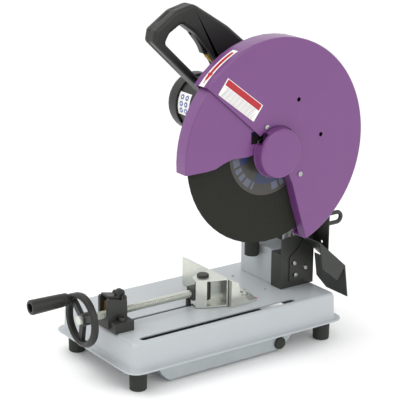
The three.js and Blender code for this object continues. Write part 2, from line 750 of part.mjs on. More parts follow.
function handwheel() {
  const torus = new THREE.TorusGeometry(HANDWHEEL_RADIUS, RIM_SECTION, 8, 30);
  torus.scale(1, 1, wheelHalf / RIM_SECTION);
  torus.rotateX(Math.PI / 2);
  torus.translate(SCREW_X, HANDWHEEL_Y, SCREW_Z);
  const hub = rod('y', screwAt, HANDWHEEL_Y - 2, HANDWHEEL_Y + 17, 12, 24);
  const spokes = [CRANK_ANGLE, CRANK_ANGLE + 120, CRANK_ANGLE + 240].map((degrees) => {
    const spoke = new THREE.BoxGeometry(HANDWHEEL_RADIUS - 9, 8, 11);
    spoke.translate(HANDWHEEL_RADIUS / 2 + 4, 0, 0);
    spoke.rotateY(-degrees * RADIANS);
    spoke.translate(SCREW_X, HANDWHEEL_Y + 3, SCREW_Z);
    return solid(spoke);
  });
  const boss = rod('y', crank, HANDWHEEL_Y - 8.5, HANDWHEEL_Y + 7, 9, 20);
  const bore = rod('y', screwAt, HANDWHEEL_Y - 30, HANDWHEEL_Y + 17.7, 5 + GAP, 24);
  const crankBore = rod('y', crank, HANDWHEEL_Y - 30, HANDWHEEL_Y + 30, 4 + GAP, 16);
  return cut(join(solid(torus), hub, ...spokes, boss), bore, crankBore);
}

add('handwheel', handwheel(), 'black');

const gripStart = HANDWHEEL_Y - 9;
const gripEnd = gripStart - GRIP_LENGTH;

add('crank_grip', turned('y', crank, [
  [gripStart, 4 + RUNNING],
  [gripStart, 10.5],
  [gripStart - 2, 12],
  [gripStart - 9, 12],
  [gripStart - 10, 11],
  [gripStart - 11, 12.4],
  [gripEnd + 2, 14],
  [gripEnd, 12.8],
  [gripEnd, 8.5],
  [gripEnd + 9, 8.5],
  [gripEnd + 9, 4 + RUNNING],
  [gripStart, 4 + RUNNING],
], 12), 'black');

// ---------------------------------------------------------------- vice bracket

const leverPin = { y: BRACKET_REAR - 6, z: BRACKET_LOW + 6 };
const leverHalf = BRACKET_HALF - 4.5;

function topOf(y) {
  const along = (y - BRACKET_FRONT) / (BRACKET_REAR - BRACKET_FRONT);
  return BRACKET_HIGH + (BRACKET_LOW - BRACKET_HIGH) * along;
}

function viceBracket() {
  const foot = box(SCREW_X - BRACKET_FOOT_HALF, SCREW_X + BRACKET_FOOT_HALF, BRACKET_FRONT + 4, BRACKET_REAR + 3,
    deck, deck + 19);
  const block = slab('x', [
    [BRACKET_FRONT, deck + 5],
    [BRACKET_REAR, deck + 5],
    [BRACKET_REAR, BRACKET_LOW - 2],
    [BRACKET_REAR - 2, BRACKET_LOW],
    [BRACKET_FRONT + 3, BRACKET_HIGH],
    [BRACKET_FRONT, BRACKET_HIGH - 3],
  ], SCREW_X - BRACKET_HALF, SCREW_X + BRACKET_HALF);
  const lugOutline = bandRound([[leverPin.y, leverPin.z, 5.5], [leverPin.y, BRACKET_LOW - 6, 5.5]]);
  const lugs = [SCREW_X - BRACKET_HALF, SCREW_X + BRACKET_HALF - 4].map((x) => slab('x', lugOutline, x, x + 4));
  const bore = rod('y', screwAt, BRACKET_FRONT - 20, BRACKET_REAR + 20, SCREW_RADIUS + 1, 24);
  const pocket = box(SCREW_X - 10.5, SCREW_X + 10.5, BRACKET_FRONT - 20, BRACKET_REAR - 12, SCREW_Z, BRACKET_HIGH + 20);
  const shanks = bracketBolts.map(([x, y]) => rod('z', { x, y }, deck - 20, deck + 30, 4 + GAP, 16));
  const pinHole = rod('x', leverPin, SCREW_X - 40, SCREW_X + 40, 2 + GAP, 16);
  return cut(join(foot, block, ...lugs), bore, pocket, pinHole, ...shanks);
}

add('vice_bracket', viceBracket(), 'castBlack');

// Half nut that bites on the screw, under a lever that lifts it off so the jaw can be slid by hand.
add('half_nut', cut(
  box(SCREW_X - 9, SCREW_X + 9, BRACKET_FRONT + 7, BRACKET_FRONT + 27, SCREW_Z + 1, BRACKET_LOW),
  rod('y', screwAt, BRACKET_FRONT - 20, BRACKET_REAR, SCREW_RADIUS + RUNNING, 24),
), 'bronze');

function releaseLever() {
  const clear = 1;
  const under = (y) => topOf(y) + clear;
  const front = BRACKET_FRONT + 4;
  const plate = slab('x', [
    [front, under(front)],
    [leverPin.y, under(leverPin.y)],
    [leverPin.y, under(leverPin.y) + 5],
    [front, under(front) + 4],
  ], SCREW_X - leverHalf, SCREW_X + leverHalf);
  const knuckle = rod('x', leverPin, SCREW_X - leverHalf, SCREW_X + leverHalf, 4.6, 24);
  const leg = box(SCREW_X - 8, SCREW_X + 8, BRACKET_FRONT + 8, BRACKET_FRONT + 26, BRACKET_LOW + GAP, topOf(front) - 2);
  const thumb = rod('x', { y: -207, z: 160 }, SCREW_X + leverHalf - 8, SCREW_X + leverHalf, 9, 24);
  const pin = rod('x', leverPin, SCREW_X - BRACKET_HALF - 1, SCREW_X + BRACKET_HALF + 1, 2, 16);
  return join(plate, knuckle, leg, thumb, pin);
}

add('release_lever', releaseLever(), 'black');

// ---------------------------------------------------------------- drive

const centreDistance = (GEAR_MODULE * (GEAR_TEETH + PINION_TEETH)) / 2;
const MOTOR = {
  y: SPINDLE.y - centreDistance * Math.sin(MOTOR_LEAN * RADIANS),
  z: SPINDLE.z + centreDistance * Math.cos(MOTOR_LEAN * RADIANS),
};
const lineOfCentres = Math.PI / 2 + MOTOR_LEAN * RADIANS;

// Spur gear outline with involute flanks; a tooth, or a gap, stands at `angle`.
function gearOutline(teeth, centre, angle, backlash) {
  const pitch = (GEAR_MODULE * teeth) / 2;
  const pressure = 20 * RADIANS;
  const base = pitch * Math.cos(pressure);
  const tip = pitch + 0.85 * GEAR_MODULE;
  const root = pitch - 1.3 * GEAR_MODULE;
  const involute = (a) => Math.tan(a) - a;
  const halfTooth = (r) => {
    const at = Math.acos(Math.min(1, base / Math.max(r, base)));
    return Math.PI / (2 * teeth) - backlash / (2 * pitch) + involute(pressure) - involute(at);
  };
  const start = Math.max(base, root);
  const radii = root < start ? [root, start, tip] : [start, tip];
  const points = [];
  for (let i = 0; i < teeth; i++) {
    const middle = angle + (i / teeth) * 2 * Math.PI;
    for (const r of radii) points.push([r, middle - halfTooth(r)]);
    for (const r of [...radii].reverse()) points.push([r, middle + halfTooth(r)]);
  }
  return points.map(([r, a]) => [centre.y + r * Math.cos(a), centre.z + r * Math.sin(a)]);
}

const gearEnd = GEAR_X + GEAR_FACE;
const pinionAngle = lineOfCentres + Math.PI + Math.PI / PINION_TEETH;

add('drive_gear', cut(
  join(
    slab('x', gearOutline(GEAR_TEETH, SPINDLE, lineOfCentres, 0.3), GEAR_X, gearEnd),
    rod('x', SPINDLE, GEAR_X - 5, gearEnd + 3, 14),
  ),
  rod('x', SPINDLE, GEAR_X - 30, gearEnd + 30, SPINDLE_RADIUS + GAP, 32),
), 'steel');

add('pinion', cut(
  slab('x', gearOutline(PINION_TEETH, MOTOR, pinionAngle, 0.5), GEAR_X - 2, gearEnd + 2),
  rod('x', MOTOR, GEAR_X - 30, gearEnd + 30, 5 + GAP, 24),
), 'steel');

const wheelLeft = WHEEL_X - WHEEL_THICKNESS / 2;
const wheelRight = WHEEL_X + WHEEL_THICKNESS / 2;
const pilotEnd = wheelRight - GAP;
const flangeEnd = wheelRight + GAP + 5.2;
const flangeStart = wheelLeft - GAP - 8;
const rearBearing = { from: 27, to: 36 };
const frontBearing = { from: 78.5, to: 87.5 };
const bearingOuter = 17;
const motorBearingOuter = 13;

add('spindle', cut(
  turned('x', SPINDLE, [
    [rearBearing.from, 0],
    [rearBearing.from, SPINDLE_RADIUS],
    [CASE_END + GAP, SPINDLE_RADIUS],
    [CASE_END + GAP, 11],
    [flangeStart - GAP, 11],
    [flangeStart - GAP, SPINDLE_RADIUS],
    [flangeEnd - 1, SPINDLE_RADIUS],
    [flangeEnd - 1, 0],
  ]),
  rod('x', SPINDLE, 94, flangeEnd + 20, 5, 16),
), 'steel');

add('inner_flange', turned('x', SPINDLE, [
  [flangeStart, SPINDLE_RADIUS + GAP],
  [flangeStart, 18],
  [flangeStart + 4, 30],
  [wheelLeft - GAP, 30],
  [wheelLeft - GAP, WHEEL_BORE - GAP],
  [pilotEnd, WHEEL_BORE - GAP],
  [pilotEnd, SPINDLE_RADIUS + GAP],
  [flangeStart, SPINDLE_RADIUS + GAP],
]), 'steel');

add('cutting_wheel', ring('x', SPINDLE, wheelLeft, wheelRight, WHEEL_BORE, WHEEL_RADIUS, 60), 'abrasive');

add('outer_flange', turned('x', SPINDLE, [
  [wheelRight + GAP, SPINDLE_RADIUS + GAP],
  [wheelRight + GAP, 30],
  [wheelRight + 2, 30],
  [flangeEnd, 20],
  [flangeEnd, SPINDLE_RADIUS + GAP],
  [wheelRight + GAP, SPINDLE_RADIUS + GAP],
]), 'steel');

add('arbor_bolt', join(
  rod('x', SPINDLE, 96, flangeEnd + 2, 5 - GAP, 16),
  rod('x', SPINDLE, flangeEnd + GAP, flangeEnd + 2, 13, 24),
  hexagon('x', SPINDLE, flangeEnd + 1.5, flangeEnd + 7.5, 9.5),
), 'zinc');

const motorFrontBearing = { from: 25, to: 34 };
const motorRearBearing = { from: MOTOR_REAR + 1, to: MOTOR_REAR + 9 };

const bearings = [
  ['spindle_bearing_rear', SPINDLE, rearBearing, SPINDLE_RADIUS, bearingOuter],
  ['spindle_bearing_front', SPINDLE, frontBearing, SPINDLE_RADIUS, bearingOuter],
  ['motor_bearing_front', MOTOR, motorFrontBearing, SHAFT_RADIUS, motorBearingOuter],
  ['motor_bearing_rear', MOTOR, motorRearBearing, SHAFT_RADIUS, motorBearingOuter],
];

for (const [name, at, { from, to }, shaft, outer] of bearings) {
  add(name, ring('x', at, from + GAP, to - GAP, shaft + RUNNING, outer), 'steel');
}

const coreLeft = MOTOR_REAR + 28;
const coreRight = -22;

add('armature', turned('x', MOTOR, [
  [MOTOR_REAR, 0],
  [MOTOR_REAR, SHAFT_RADIUS],
  [MOTOR_REAR + 10, SHAFT_RADIUS],
  [MOTOR_REAR + 10, 12],
  [MOTOR_REAR + 22, 12],
  [MOTOR_REAR + 22, SHAFT_RADIUS + 1],
  [coreLeft, SHAFT_RADIUS + 1],
  [coreLeft, CORE_RADIUS - 4],
  [coreLeft + 6, CORE_RADIUS],
  [coreRight - 6, CORE_RADIUS],
  [coreRight, CORE_RADIUS - 4],
  [coreRight, SHAFT_RADIUS],
  [motorFrontBearing.to, SHAFT_RADIUS],
  [motorFrontBearing.to + 2, 5],
  [gearEnd + 3, 5],
  [gearEnd + 3, 0],
], 24), 'copper');

add('stator', ring('x', MOTOR, coreLeft + 1, coreRight - 1, CORE_RADIUS + 1, MOTOR_RADIUS - MOTOR_WALL - GAP, 40), 'steel');

const FAN_RADIUS = MOTOR_RADIUS - 11; // clear of the room cut for it in the arm

function fan() {
  const disc = ring('x', MOTOR, 14, 16, SHAFT_RADIUS + GAP, FAN_RADIUS, 32);
  const hub = ring('x', MOTOR, 4, 16, SHAFT_RADIUS + GAP, 10, 24);
  const blades = Array.from({ length: 7 }, (_, i) => {
    const blade = new THREE.BoxGeometry(9, FAN_RADIUS - 14, 1.6);
    blade.translate(10, FAN_RADIUS / 2 + 5, 0);
    blade.rotateX((i / 7) * 2 * Math.PI);
    blade.translate(0, MOTOR.y, MOTOR.z);
    return solid(blade);
  });
  return join(disc, hub, ...blades);
}

add('fan', fan(), 'black');

const brushX = MOTOR_REAR + 16;

const capSeat = MOTOR_RADIUS + GAP;

for (const [name, side] of [['lower', -1], ['upper', 1]]) {
  const between = (a, b) => [MOTOR.z + side * a, MOTOR.z + side * b].sort((p, q) => p - q);
  const [near, far] = between(12.6, 26);
  add('brush_' + name, box(brushX - 4, brushX + 4, MOTOR.y - 3, MOTOR.y + 3, near, far), 'carbon');
  const at = { x: brushX, y: MOTOR.y };
  add('brush_cap_' + name, join(
    rod('z', at, ...between(capSeat - 8, capSeat + 3), 7, 20),
    rod('z', at, ...between(capSeat, capSeat + 3), 9, 24),
  ), 'black');
}

// ---------------------------------------------------------------- motor, arm and gear case

function motorHousing() {
  const shell = turned('x', MOTOR, [
    [MOTOR_REAR, motorBearingOuter + GAP],
    [MOTOR_REAR, MOTOR_RADIUS],
    [-10, MOTOR_RADIUS],
    [-8, MOTOR_RADIUS + 5.5],
    [-GAP, MOTOR_RADIUS + 5.5],
    [-GAP, MOTOR_RADIUS - MOTOR_WALL],
    [MOTOR_REAR + 4, MOTOR_RADIUS - MOTOR_WALL],
    [MOTOR_REAR + 4, motorBearingOuter + 4],
    [MOTOR_REAR + 9, motorBearingOuter + 4],
    [MOTOR_REAR + 9, motorBearingOuter + GAP],
    [MOTOR_REAR, motorBearingOuter + GAP],
  ], 32);
  const capFlats = [-1, 1].map((side) => {
    const span = [MOTOR.z + side * MOTOR_RADIUS, MOTOR.z + side * (MOTOR_RADIUS + 30)].sort((a, b) => a - b);
    return rod('z', { x: brushX, y: MOTOR.y }, ...span, 9 + GAP, 24);
  });
  const capHoles = rod('z', { x: brushX, y: MOTOR.y }, MOTOR.z - 70, MOTOR.z + 70, 7 + GAP, 20);
  const vents = [];
  for (let i = 0; i < 3; i++) {
    for (const side of [-1, 1]) {
      const slit = new THREE.BoxGeometry(30, 40, 4);
      slit.translate(-32, side * MOTOR_RADIUS, 0);
      slit.rotateX(side * (i - 1) * 13 * RADIANS);
      slit.translate(0, MOTOR.y, MOTOR.z);
      vents.push(solid(slit));
    }
  }
  const statorSeat = ring('x', MOTOR, -60, -5, 10, MOTOR_RADIUS - MOTOR_WALL, 24);
  return cut(shell, ...capFlats, capHoles, ...vents.map((v) => v.subtract(statorSeat)));
}

add('motor_housing', motorHousing(), 'black');

const capFrom = MOTOR_REAR - GAP;
const capTo = capFrom - END_CAP_LENGTH;

add('motor_end_cap', turned('x', MOTOR, [
  [capFrom, END_CAP_RADIUS - 5],
  [capFrom, END_CAP_RADIUS - 1],
  [capFrom - 1, END_CAP_RADIUS],
  [capTo + 8, END_CAP_RADIUS],
  [capTo + 2.5, END_CAP_RADIUS - 2],
  [capTo, END_CAP_RADIUS - 6],
  [capTo, END_CAP_RADIUS - 12],
  [capTo + 3, END_CAP_RADIUS - 14],
  [capTo + 3, 0],
  [capTo + 7, 0],
  [capTo + 7, END_CAP_RADIUS - 9],
  [capTo + 12, END_CAP_RADIUS - 5],
  [capFrom, END_CAP_RADIUS - 5],
], 32), 'black');

const knee = { y: 132, z: 318, radius: 36 };

function swingArm() {
  const barrel = rod('x', PIVOT, BARREL_LEFT, BARREL_RIGHT, BARREL_RADIUS, 32);
  const lower = slab('x', bandRound([
    [PIVOT.y, PIVOT.z, BARREL_RADIUS - 3],
    [knee.y, knee.z, knee.radius],
  ]), -12, BARREL_RIGHT);
  const upper = slab('x', bandRound([
    [knee.y, knee.z, knee.radius],
    [SPINDLE.y, SPINDLE.z, 50],
    [MOTOR.y, MOTOR.z, MOTOR_RADIUS + 5.5],
  ]), 0, ARM_THICKNESS);
  // Toe that lands on the rubber stop, drawn where it lands and turned back to rest.
  const landing = buffer.top + 0.4;
  const toeAt = (x0, x1, y0, y1) => {
    const toe = new THREE.BoxGeometry(x1 - x0, y1 - y0, 17);
    toe.translate((x0 + x1) / 2, (y0 + y1) / 2 - PIVOT.y, landing + 8.5 - PIVOT.z);
    toe.rotateX(-HEAD_SWING * RADIANS);
    toe.translate(0, PIVOT.y, PIVOT.z);
    return solid(toe);
  };
  const toe = join(
    toeAt(buffer.x - 14, buffer.x + 14, buffer.y - 14, 176),
    toeAt(BARREL_LEFT, buffer.x + 14, 170, PIVOT.y),
  );
  const bore = rod('x', PIVOT, BARREL_LEFT - 9, BARREL_RIGHT + 9, PIVOT_RADIUS + BUSH_WALL + 2 * GAP, 32);
  const fanRoom = rod('x', MOTOR, -20, 22, MOTOR_RADIUS - MOTOR_WALL - 1, 40);
  const bearingSeat = rod('x', MOTOR, 10, ARM_THICKNESS + 9, motorBearingOuter + GAP, 24);
  const spindleSeat = rod('x', SPINDLE, rearBearing.from - GAP, ARM_THICKNESS + 9, bearingOuter + GAP, 32);
  return cut(join(barrel, lower, upper, toe), bore, fanRoom, bearingSeat, spindleSeat);
}

add('swing_arm', swingArm(), 'castBlack');

add('pivot_bush', ring('x', PIVOT, BARREL_LEFT + 0.5, BARREL_RIGHT - 0.5, PIVOT_RADIUS + RUNNING,
  PIVOT_RADIUS + BUSH_WALL + GAP), 'bronze');

const caseStart = ARM_THICKNESS + GAP;
function gearCase() {
  const outer = slab('x', bandRound([
    [SPINDLE.y, SPINDLE.z, 50],
    [MOTOR.y, MOTOR.z, MOTOR_RADIUS + 5],
  ]), caseStart, CASE_END);
  const room = slab('x', bandRound([
    [SPINDLE.y, SPINDLE.z, 50 - CASE_WALL],
    [MOTOR.y, MOTOR.z, MOTOR_RADIUS + 5 - CASE_WALL],
  ]), caseStart - 9, CASE_END - CASE_WALL);
  const seat = rod('x', SPINDLE, frontBearing.from - 3, CASE_END + 3.7, bearingOuter + 5, 32);
  const bearingBore = rod('x', SPINDLE, frontBearing.from - 9, CASE_END, bearingOuter + GAP, 32);
  const shaftHole = rod('x', SPINDLE, CASE_END - 30, CASE_END + 30, 13, 24);
  return cut(join(cut(outer, room), seat), bearingBore, shaftHole);
}

add('gear_case', gearCase(), 'castBlack');

// ---------------------------------------------------------------- guards

const guardCentre = [GUARD_CENTRE.y, GUARD_CENTRE.z];
const spindleCentre = [SPINDLE.y, SPINDLE.z];
const hubHole = HUB_FLANGE - 2 + GAP;
const cutEdge = [[127.4, 281], [110, 338], [102, 354]]; // rear edge of the guard's cheek
const faceScrews = [[47.4, 452.4], [126.6, 353.1]];
const faceHoles = [[119.7, 493.8], [173.7, 421.2]];

function cheekOutline(radius, hubRadius) {
  const rim = arcPoints(guardCentre, radius, GUARD_FRONT_ANGLE, GUARD_TAIL_ANGLE, 30);
  const hub = arcPoints(spindleCentre, hubRadius, -50, 137, 18);
  return [...rim, ...cutEdge, ...hub];
}

function upperGuard() {
  const inner = GUARD_FACE_X - GUARD_SHEET;
  const cheek = slab('x', cheekOutline(GUARD_RADIUS, hubHole), inner, GUARD_FACE_X);
  const rim = slab('x', [
    ...arcPoints(guardCentre, GUARD_RADIUS, GUARD_FRONT_ANGLE, GUARD_TAIL_ANGLE, 30),
    ...arcPoints(guardCentre, GUARD_RADIUS - GUARD_SHEET, GUARD_TAIL_ANGLE, GUARD_FRONT_ANGLE, 30),
  ], GUARD_FACE_X - GUARD_DEPTH + GAP, GUARD_FACE_X);
  const tail = arcEnd(guardCentre, GUARD_RADIUS - 1, GUARD_TAIL_ANGLE);
  const lip = [tail, ...cutEdge];
  const shifted = lip.map(([y, z]) => [y + GUARD_SHEET, z + 0.6]).reverse();
  const returnLip = slab('x', [...lip, ...shifted], wheelRight + 3, inner + 1);
  const holes = [...faceHoles, ...faceScrews].map(([y, z], i) => rod('x', { y, z }, inner - 9, GUARD_FACE_X + 9,
    i < faceHoles.length ? 4.2 : 2.5 + GAP, 16));
  return cut(join(cheek, rim, returnLip), ...holes);
}

add('upper_guard', upperGuard(), 'purple');

const backFrom = CASE_END + 4;
const backScrews = [90, 210, 330].map((degrees) => arcEnd(spindleCentre, 34, degrees));

function guardBackPlate() {
  const outline = [
    ...arcPoints(guardCentre, GUARD_RADIUS, GUARD_FRONT_ANGLE, GUARD_TAIL_ANGLE, 30),
    [131, 300],
    [116, 372],
    ...arcPoints(spindleCentre, 46, -30, -200, 14),
  ];
  const plate = slab('x', outline, backFrom, backFrom + GUARD_SHEET);
  const spindleHole = rod('x', SPINDLE, backFrom - 9, backFrom + 9, 24, 32);
  const holes = backScrews.map(([y, z]) => rod('x', { y, z }, backFrom - 9, backFrom + 9, 2.5 + GAP, 12));
  return cut(plate, spindleHole, ...holes);
}

add('guard_back_plate', guardBackPlate(), 'purple');

const lowerFace = GUARD_FACE_X - GUARD_SHEET - 2.4;
const capTop = GUARD_FACE_X + HUB_CAP_HEIGHT;
const capFoot = lowerFace + 0.8;

// The cap's skirt and the movable guard are notched together, where the guard's stop shows.
const hubNotch = box(lowerFace - 9, capTop - 8, SPINDLE.y - 54, SPINDLE.y - 25, SPINDLE.z + 20, SPINDLE.z + 43);

add('hub_cap', cut(turned('x', SPINDLE, [
  [capTop, 0],
  [capTop, HUB_CAP_RADIUS - 5],
  [capTop - 1.5, HUB_CAP_RADIUS - 1.5],
  [capTop - 4, HUB_CAP_RADIUS],
  [capFoot + 1.6, HUB_FLANGE - 3.5],
  [capFoot + 1.6, HUB_FLANGE - 2],
  [capFoot, HUB_FLANGE - 2],
  [capFoot, HUB_FLANGE - 5.5],
  [capTop - 4.5, HUB_CAP_RADIUS - 2.2],
  [capTop - 2, HUB_CAP_RADIUS - 5],
  [capTop - 2, HUB_TUBE],
  [flangeEnd + 9, HUB_TUBE],
  [flangeEnd + 9, HUB_TUBE - 2],
  [capTop - 2, HUB_TUBE - 2],
  [capTop - 2, 0],
], 32), hubNotch.subtract(rod('x', SPINDLE, 100, 160, HUB_TUBE + 1, 32))), 'purple');

function lowerGuard() {
  const start = 184.5;
  const end = start - LOWER_GUARD_REACH;
  const face = slab('x', [
    ...arcPoints(spindleCentre, LOWER_GUARD_RADIUS, start, end, 16),
    ...arcPoints(spindleCentre, 44, end, 178, 8),
    [SPINDLE.y - 62, SPINDLE.z - 2],
    [SPINDLE.y - 96, SPINDLE.z - 1],
    [SPINDLE.y - 114, SPINDLE.z - 6],
    [SPINDLE.y - 131, SPINDLE.z - 13],
    [SPINDLE.y - 150, SPINDLE.z - 15],
  ], lowerFace - LOWER_GUARD_SHEET, lowerFace);
  const rim = slab('x', [
    ...arcPoints(spindleCentre, LOWER_GUARD_RADIUS, start, end, 16),
    ...arcPoints(spindleCentre, LOWER_GUARD_RADIUS - LOWER_GUARD_SHEET, end, start, 16),
  ], lowerFace - GUARD_DEPTH + 9, lowerFace);
  const hub = ring('x', SPINDLE, lowerFace - LOWER_GUARD_SHEET, lowerFace, 24, 47, 32);
  const bore = rod('x', SPINDLE, 80, 160, HUB_TUBE + RUNNING, 32);
  return cut(join(face, rim, hub), bore, hubNotch.subtract(rod('x', SPINDLE, 80, 160, HUB_TUBE + 5, 32)));
}

add('lower_guard', lowerGuard(), 'purple');

// ---------------------------------------------------------------- D-handle

const handleLeft = HANDLE_X - HANDLE_WIDTH / 2;
const handleRight = HANDLE_X + HANDLE_WIDTH / 2;
const handleSeat = MOTOR_RADIUS + 5.5 + 0.8;
const triggerOutline = [[-38, 611], [-23, 587], [-17.4, 574.4], [-10, 573.5], [12, 591], [-12, 622]];
const triggerWay = [0.78, 0.626];
const lockOutline = [[-8.5, 568], [9, 552], [22, 562], [3, 580]];
const lockWay = [0.683, 0.73];
const triggerHalf = 8;
const lockHalf = 6;
const switchRoom = { y0: 26, y1: 52, z0: 572, z1: 594, half: 10 };
const handleScrews = [[-62, 648], [64, 583], [84, 511], [12, 496]];
const handleBack = 98.2;
const gland = { x: HANDLE_X, z: 530 };

function handleOutline() {
  const outline = shapeOf([
    ...rounded([
      [101.4, 496, 1],
      [handleBack, 530, 4],
      [96, 566, 12],
      [74.1, 586.2, 40],
      [31.5, 621.2, 60],
      [-4.4, 643.9, 50],
      [-45, 669, 20],
      [-84, 659, 24],
      [-127, 629.5, 9],
      [-131, 608, 9],
      [-58.5, 538.4, 30],
      [-20, 503, 20],
      [14.6, 481.2, 1],
    ], 10),
    ...arcPoints([MOTOR.y, MOTOR.z], handleSeat, 146, 52, 10),
  ]);
  outline.holes.push(new THREE.Path(rounded([
    [-70, 636, 9],
    [-96, 620.5, 10],
    [-106, 604, 9],
    [-28.7, 530.1, 40],
    [-3, 505, 9],
    [13, 513, 10],
    [19, 540, 8],
    [9.1, 552.5, 2],
    [-41.9, 616, 16],
  ], 8).map(([y, z]) => new THREE.Vector2(y, z))));
  return outline;
}

function sweptRoom(outline, way, travel, half, clearance) {
  const spots = [];
  for (const [y, z] of outline) {
    spots.push([y, z, clearance], [y + way[0] * travel, z + way[1] * travel, clearance]);
  }
  return slab('x', bandRound(spots, 12), HANDLE_X - half - GAP, HANDLE_X + half + GAP);
}

const { y0, y1, z0, z1, half: switchHalf } = switchRoom;
const handleRooms = [
  sweptRoom(triggerOutline, triggerWay, TRIGGER_TRAVEL, triggerHalf, 0.6),
  sweptRoom(lockOutline, lockWay, LOCK_TRAVEL, lockHalf, 0.6),
  box(HANDLE_X - switchHalf - GAP, HANDLE_X + switchHalf + GAP, y0 - GAP, y1 + GAP, z0 - GAP, z1 + GAP),
  rod('y', gland, handleBack - 16, handleBack + 30, 6 + GAP, 20),
];

function handleHalf(from, to, screwRadius) {
  const holes = handleScrews.map(([y, z]) => rod('x', { y, z }, handleLeft - 9, HANDLE_X + 11, screwRadius, 12));
  return cut(slab('x', handleOutline(), from, to), ...handleRooms, ...holes);
}

add('handle_left', handleHalf(handleLeft, HANDLE_X - GAP / 2, 2 + GAP), 'black');
add('handle_right', handleHalf(HANDLE_X + GAP / 2, handleRight, 2 + GAP), 'black');

add('trigger', slab('x', triggerOutline, HANDLE_X - triggerHalf, HANDLE_X + triggerHalf), 'black');
add('lock_off_button', slab('x', lockOutline, HANDLE_X - lockHalf, HANDLE_X + lockHalf), 'yellow');
add('switch_body', box(HANDLE_X - switchHalf, HANDLE_X + switchHalf, y0, y1, z0, z1), 'black');

const glandSeat = handleBack + 1.5;

add('cord_gland', turned('y', gland, [
  [handleBack - 15, 4],
  [handleBack - 15, 6],
  [glandSeat, 6],
  [glandSeat, 9],
  [glandSeat + 4, 8],
  [glandSeat + 6, 7],
  [glandSeat + 6, 4],
  [handleBack - 15, 4],
], 20), 'rubber');

// ---------------------------------------------------------------- origin

const bounds = new THREE.Box3().setFromObject(saw);
const middle = bounds.getCenter(new THREE.Vector3());
saw.position.set(-middle.x, -middle.y, 0);

export default saw;
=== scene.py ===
# %% [markdown]
# # Bench cut-off saw
# A pressed-steel base carries a screw vice and a fence. Behind them a sprung arm carries the motor, the
# gear case, the abrasive wheel and its guards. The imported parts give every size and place, and this
# lesson turns them into finished pieces: edges are softened, curved faces are shaded smooth, and the
# small pieces that give the saw its scale, such as screws, labels and a screw thread, are modelled one by
# one.

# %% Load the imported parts
import bpy
import json
import math
import bmesh
from mathutils import Matrix, Vector

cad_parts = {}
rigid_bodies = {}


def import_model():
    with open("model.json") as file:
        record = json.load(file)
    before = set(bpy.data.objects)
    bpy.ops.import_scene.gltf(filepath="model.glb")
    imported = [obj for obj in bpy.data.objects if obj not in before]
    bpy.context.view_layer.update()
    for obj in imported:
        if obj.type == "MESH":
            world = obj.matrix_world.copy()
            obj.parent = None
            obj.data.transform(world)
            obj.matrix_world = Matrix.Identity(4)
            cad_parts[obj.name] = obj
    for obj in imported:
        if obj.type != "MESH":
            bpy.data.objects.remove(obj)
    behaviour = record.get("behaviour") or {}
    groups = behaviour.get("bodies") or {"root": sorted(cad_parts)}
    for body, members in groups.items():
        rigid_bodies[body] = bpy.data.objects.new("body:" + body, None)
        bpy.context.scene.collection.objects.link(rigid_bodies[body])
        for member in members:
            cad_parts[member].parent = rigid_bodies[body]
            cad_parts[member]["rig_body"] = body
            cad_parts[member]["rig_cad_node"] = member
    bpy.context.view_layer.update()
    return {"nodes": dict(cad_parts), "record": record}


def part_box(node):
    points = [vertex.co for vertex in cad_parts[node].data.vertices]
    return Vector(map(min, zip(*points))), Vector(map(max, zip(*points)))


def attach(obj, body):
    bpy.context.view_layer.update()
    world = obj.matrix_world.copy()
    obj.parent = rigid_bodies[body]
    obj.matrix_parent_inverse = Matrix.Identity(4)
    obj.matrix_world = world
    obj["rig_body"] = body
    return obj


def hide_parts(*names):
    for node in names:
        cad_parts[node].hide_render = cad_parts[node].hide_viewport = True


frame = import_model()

MM = 0.001
nodes = frame["nodes"]
print("parts loaded:", len(nodes))

# %% [markdown]
# ## Centres that everything is placed from
# Each turned part is symmetrical about its own axis, so the middle of its box is a point on that axis.
# Reading the places from the boxes keeps every new piece on its part, whatever the part's size.


# %% Read the centres
def middle(node):
    low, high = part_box(node)
    return (low + high) / 2


SPINDLE = middle("cutting_wheel")
WHEEL_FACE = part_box("cutting_wheel")[1].x
MOTOR = middle("motor_end_cap")
SCREW = middle("vice_screw")
GUARD_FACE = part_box("upper_guard")[1].x
GUARD_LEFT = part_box("upper_guard")[0].x
GUARD_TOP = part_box("upper_guard")[1].z
GUARD_RADIUS = 202.5 * MM
LOWER_GUARD_RADIUS = 196 * MM
# How far a printed label stands off the surface under it.
LABEL_LIFT = 0.35 * MM
# The guard's rim is drawn about a centre a little above the spindle.
GUARD_CENTRE = Vector((0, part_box("upper_guard")[1].y - GUARD_RADIUS, GUARD_TOP - GUARD_RADIUS))
print("spindle", SPINDLE[:], "guard centre", GUARD_CENTRE[:])

# %% [markdown]
# ## Tools for shaping
# An operator works on whatever is selected, so each step starts from an empty selection. A part's mesh
# comes in as loose triangles: a copy has its doubles merged and its flat areas joined, so that a bevel
# finds clean edges.


# %% Selecting and editing
def only(piece):
    """Makes one piece the only selected one, and active."""
    bpy.ops.object.select_all(action="DESELECT")
    piece.select_set(True)
    bpy.context.view_layer.objects.active = piece


def edit(piece, select="SELECT", mode="VERT"):
    only(piece)
    bpy.ops.object.mode_set(mode="EDIT")
    bpy.ops.mesh.select_mode(type=mode)
    bpy.ops.mesh.select_all(action=select)


def pick(piece, test, kind="faces"):
    """Selects the faces or edges that pass a test, from edit mode."""
    mesh = bmesh.from_edit_mesh(piece.data)
    for group in (mesh.verts, mesh.edges, mesh.faces):
        for item in group:
            item.select = False
    count = 0
    for item in getattr(mesh, kind):
        if test(item):
            item.select_set(True)
            count += 1
    bmesh.update_edit_mesh(piece.data)
    return count


def done():
    bpy.ops.object.mode_set(mode="OBJECT")


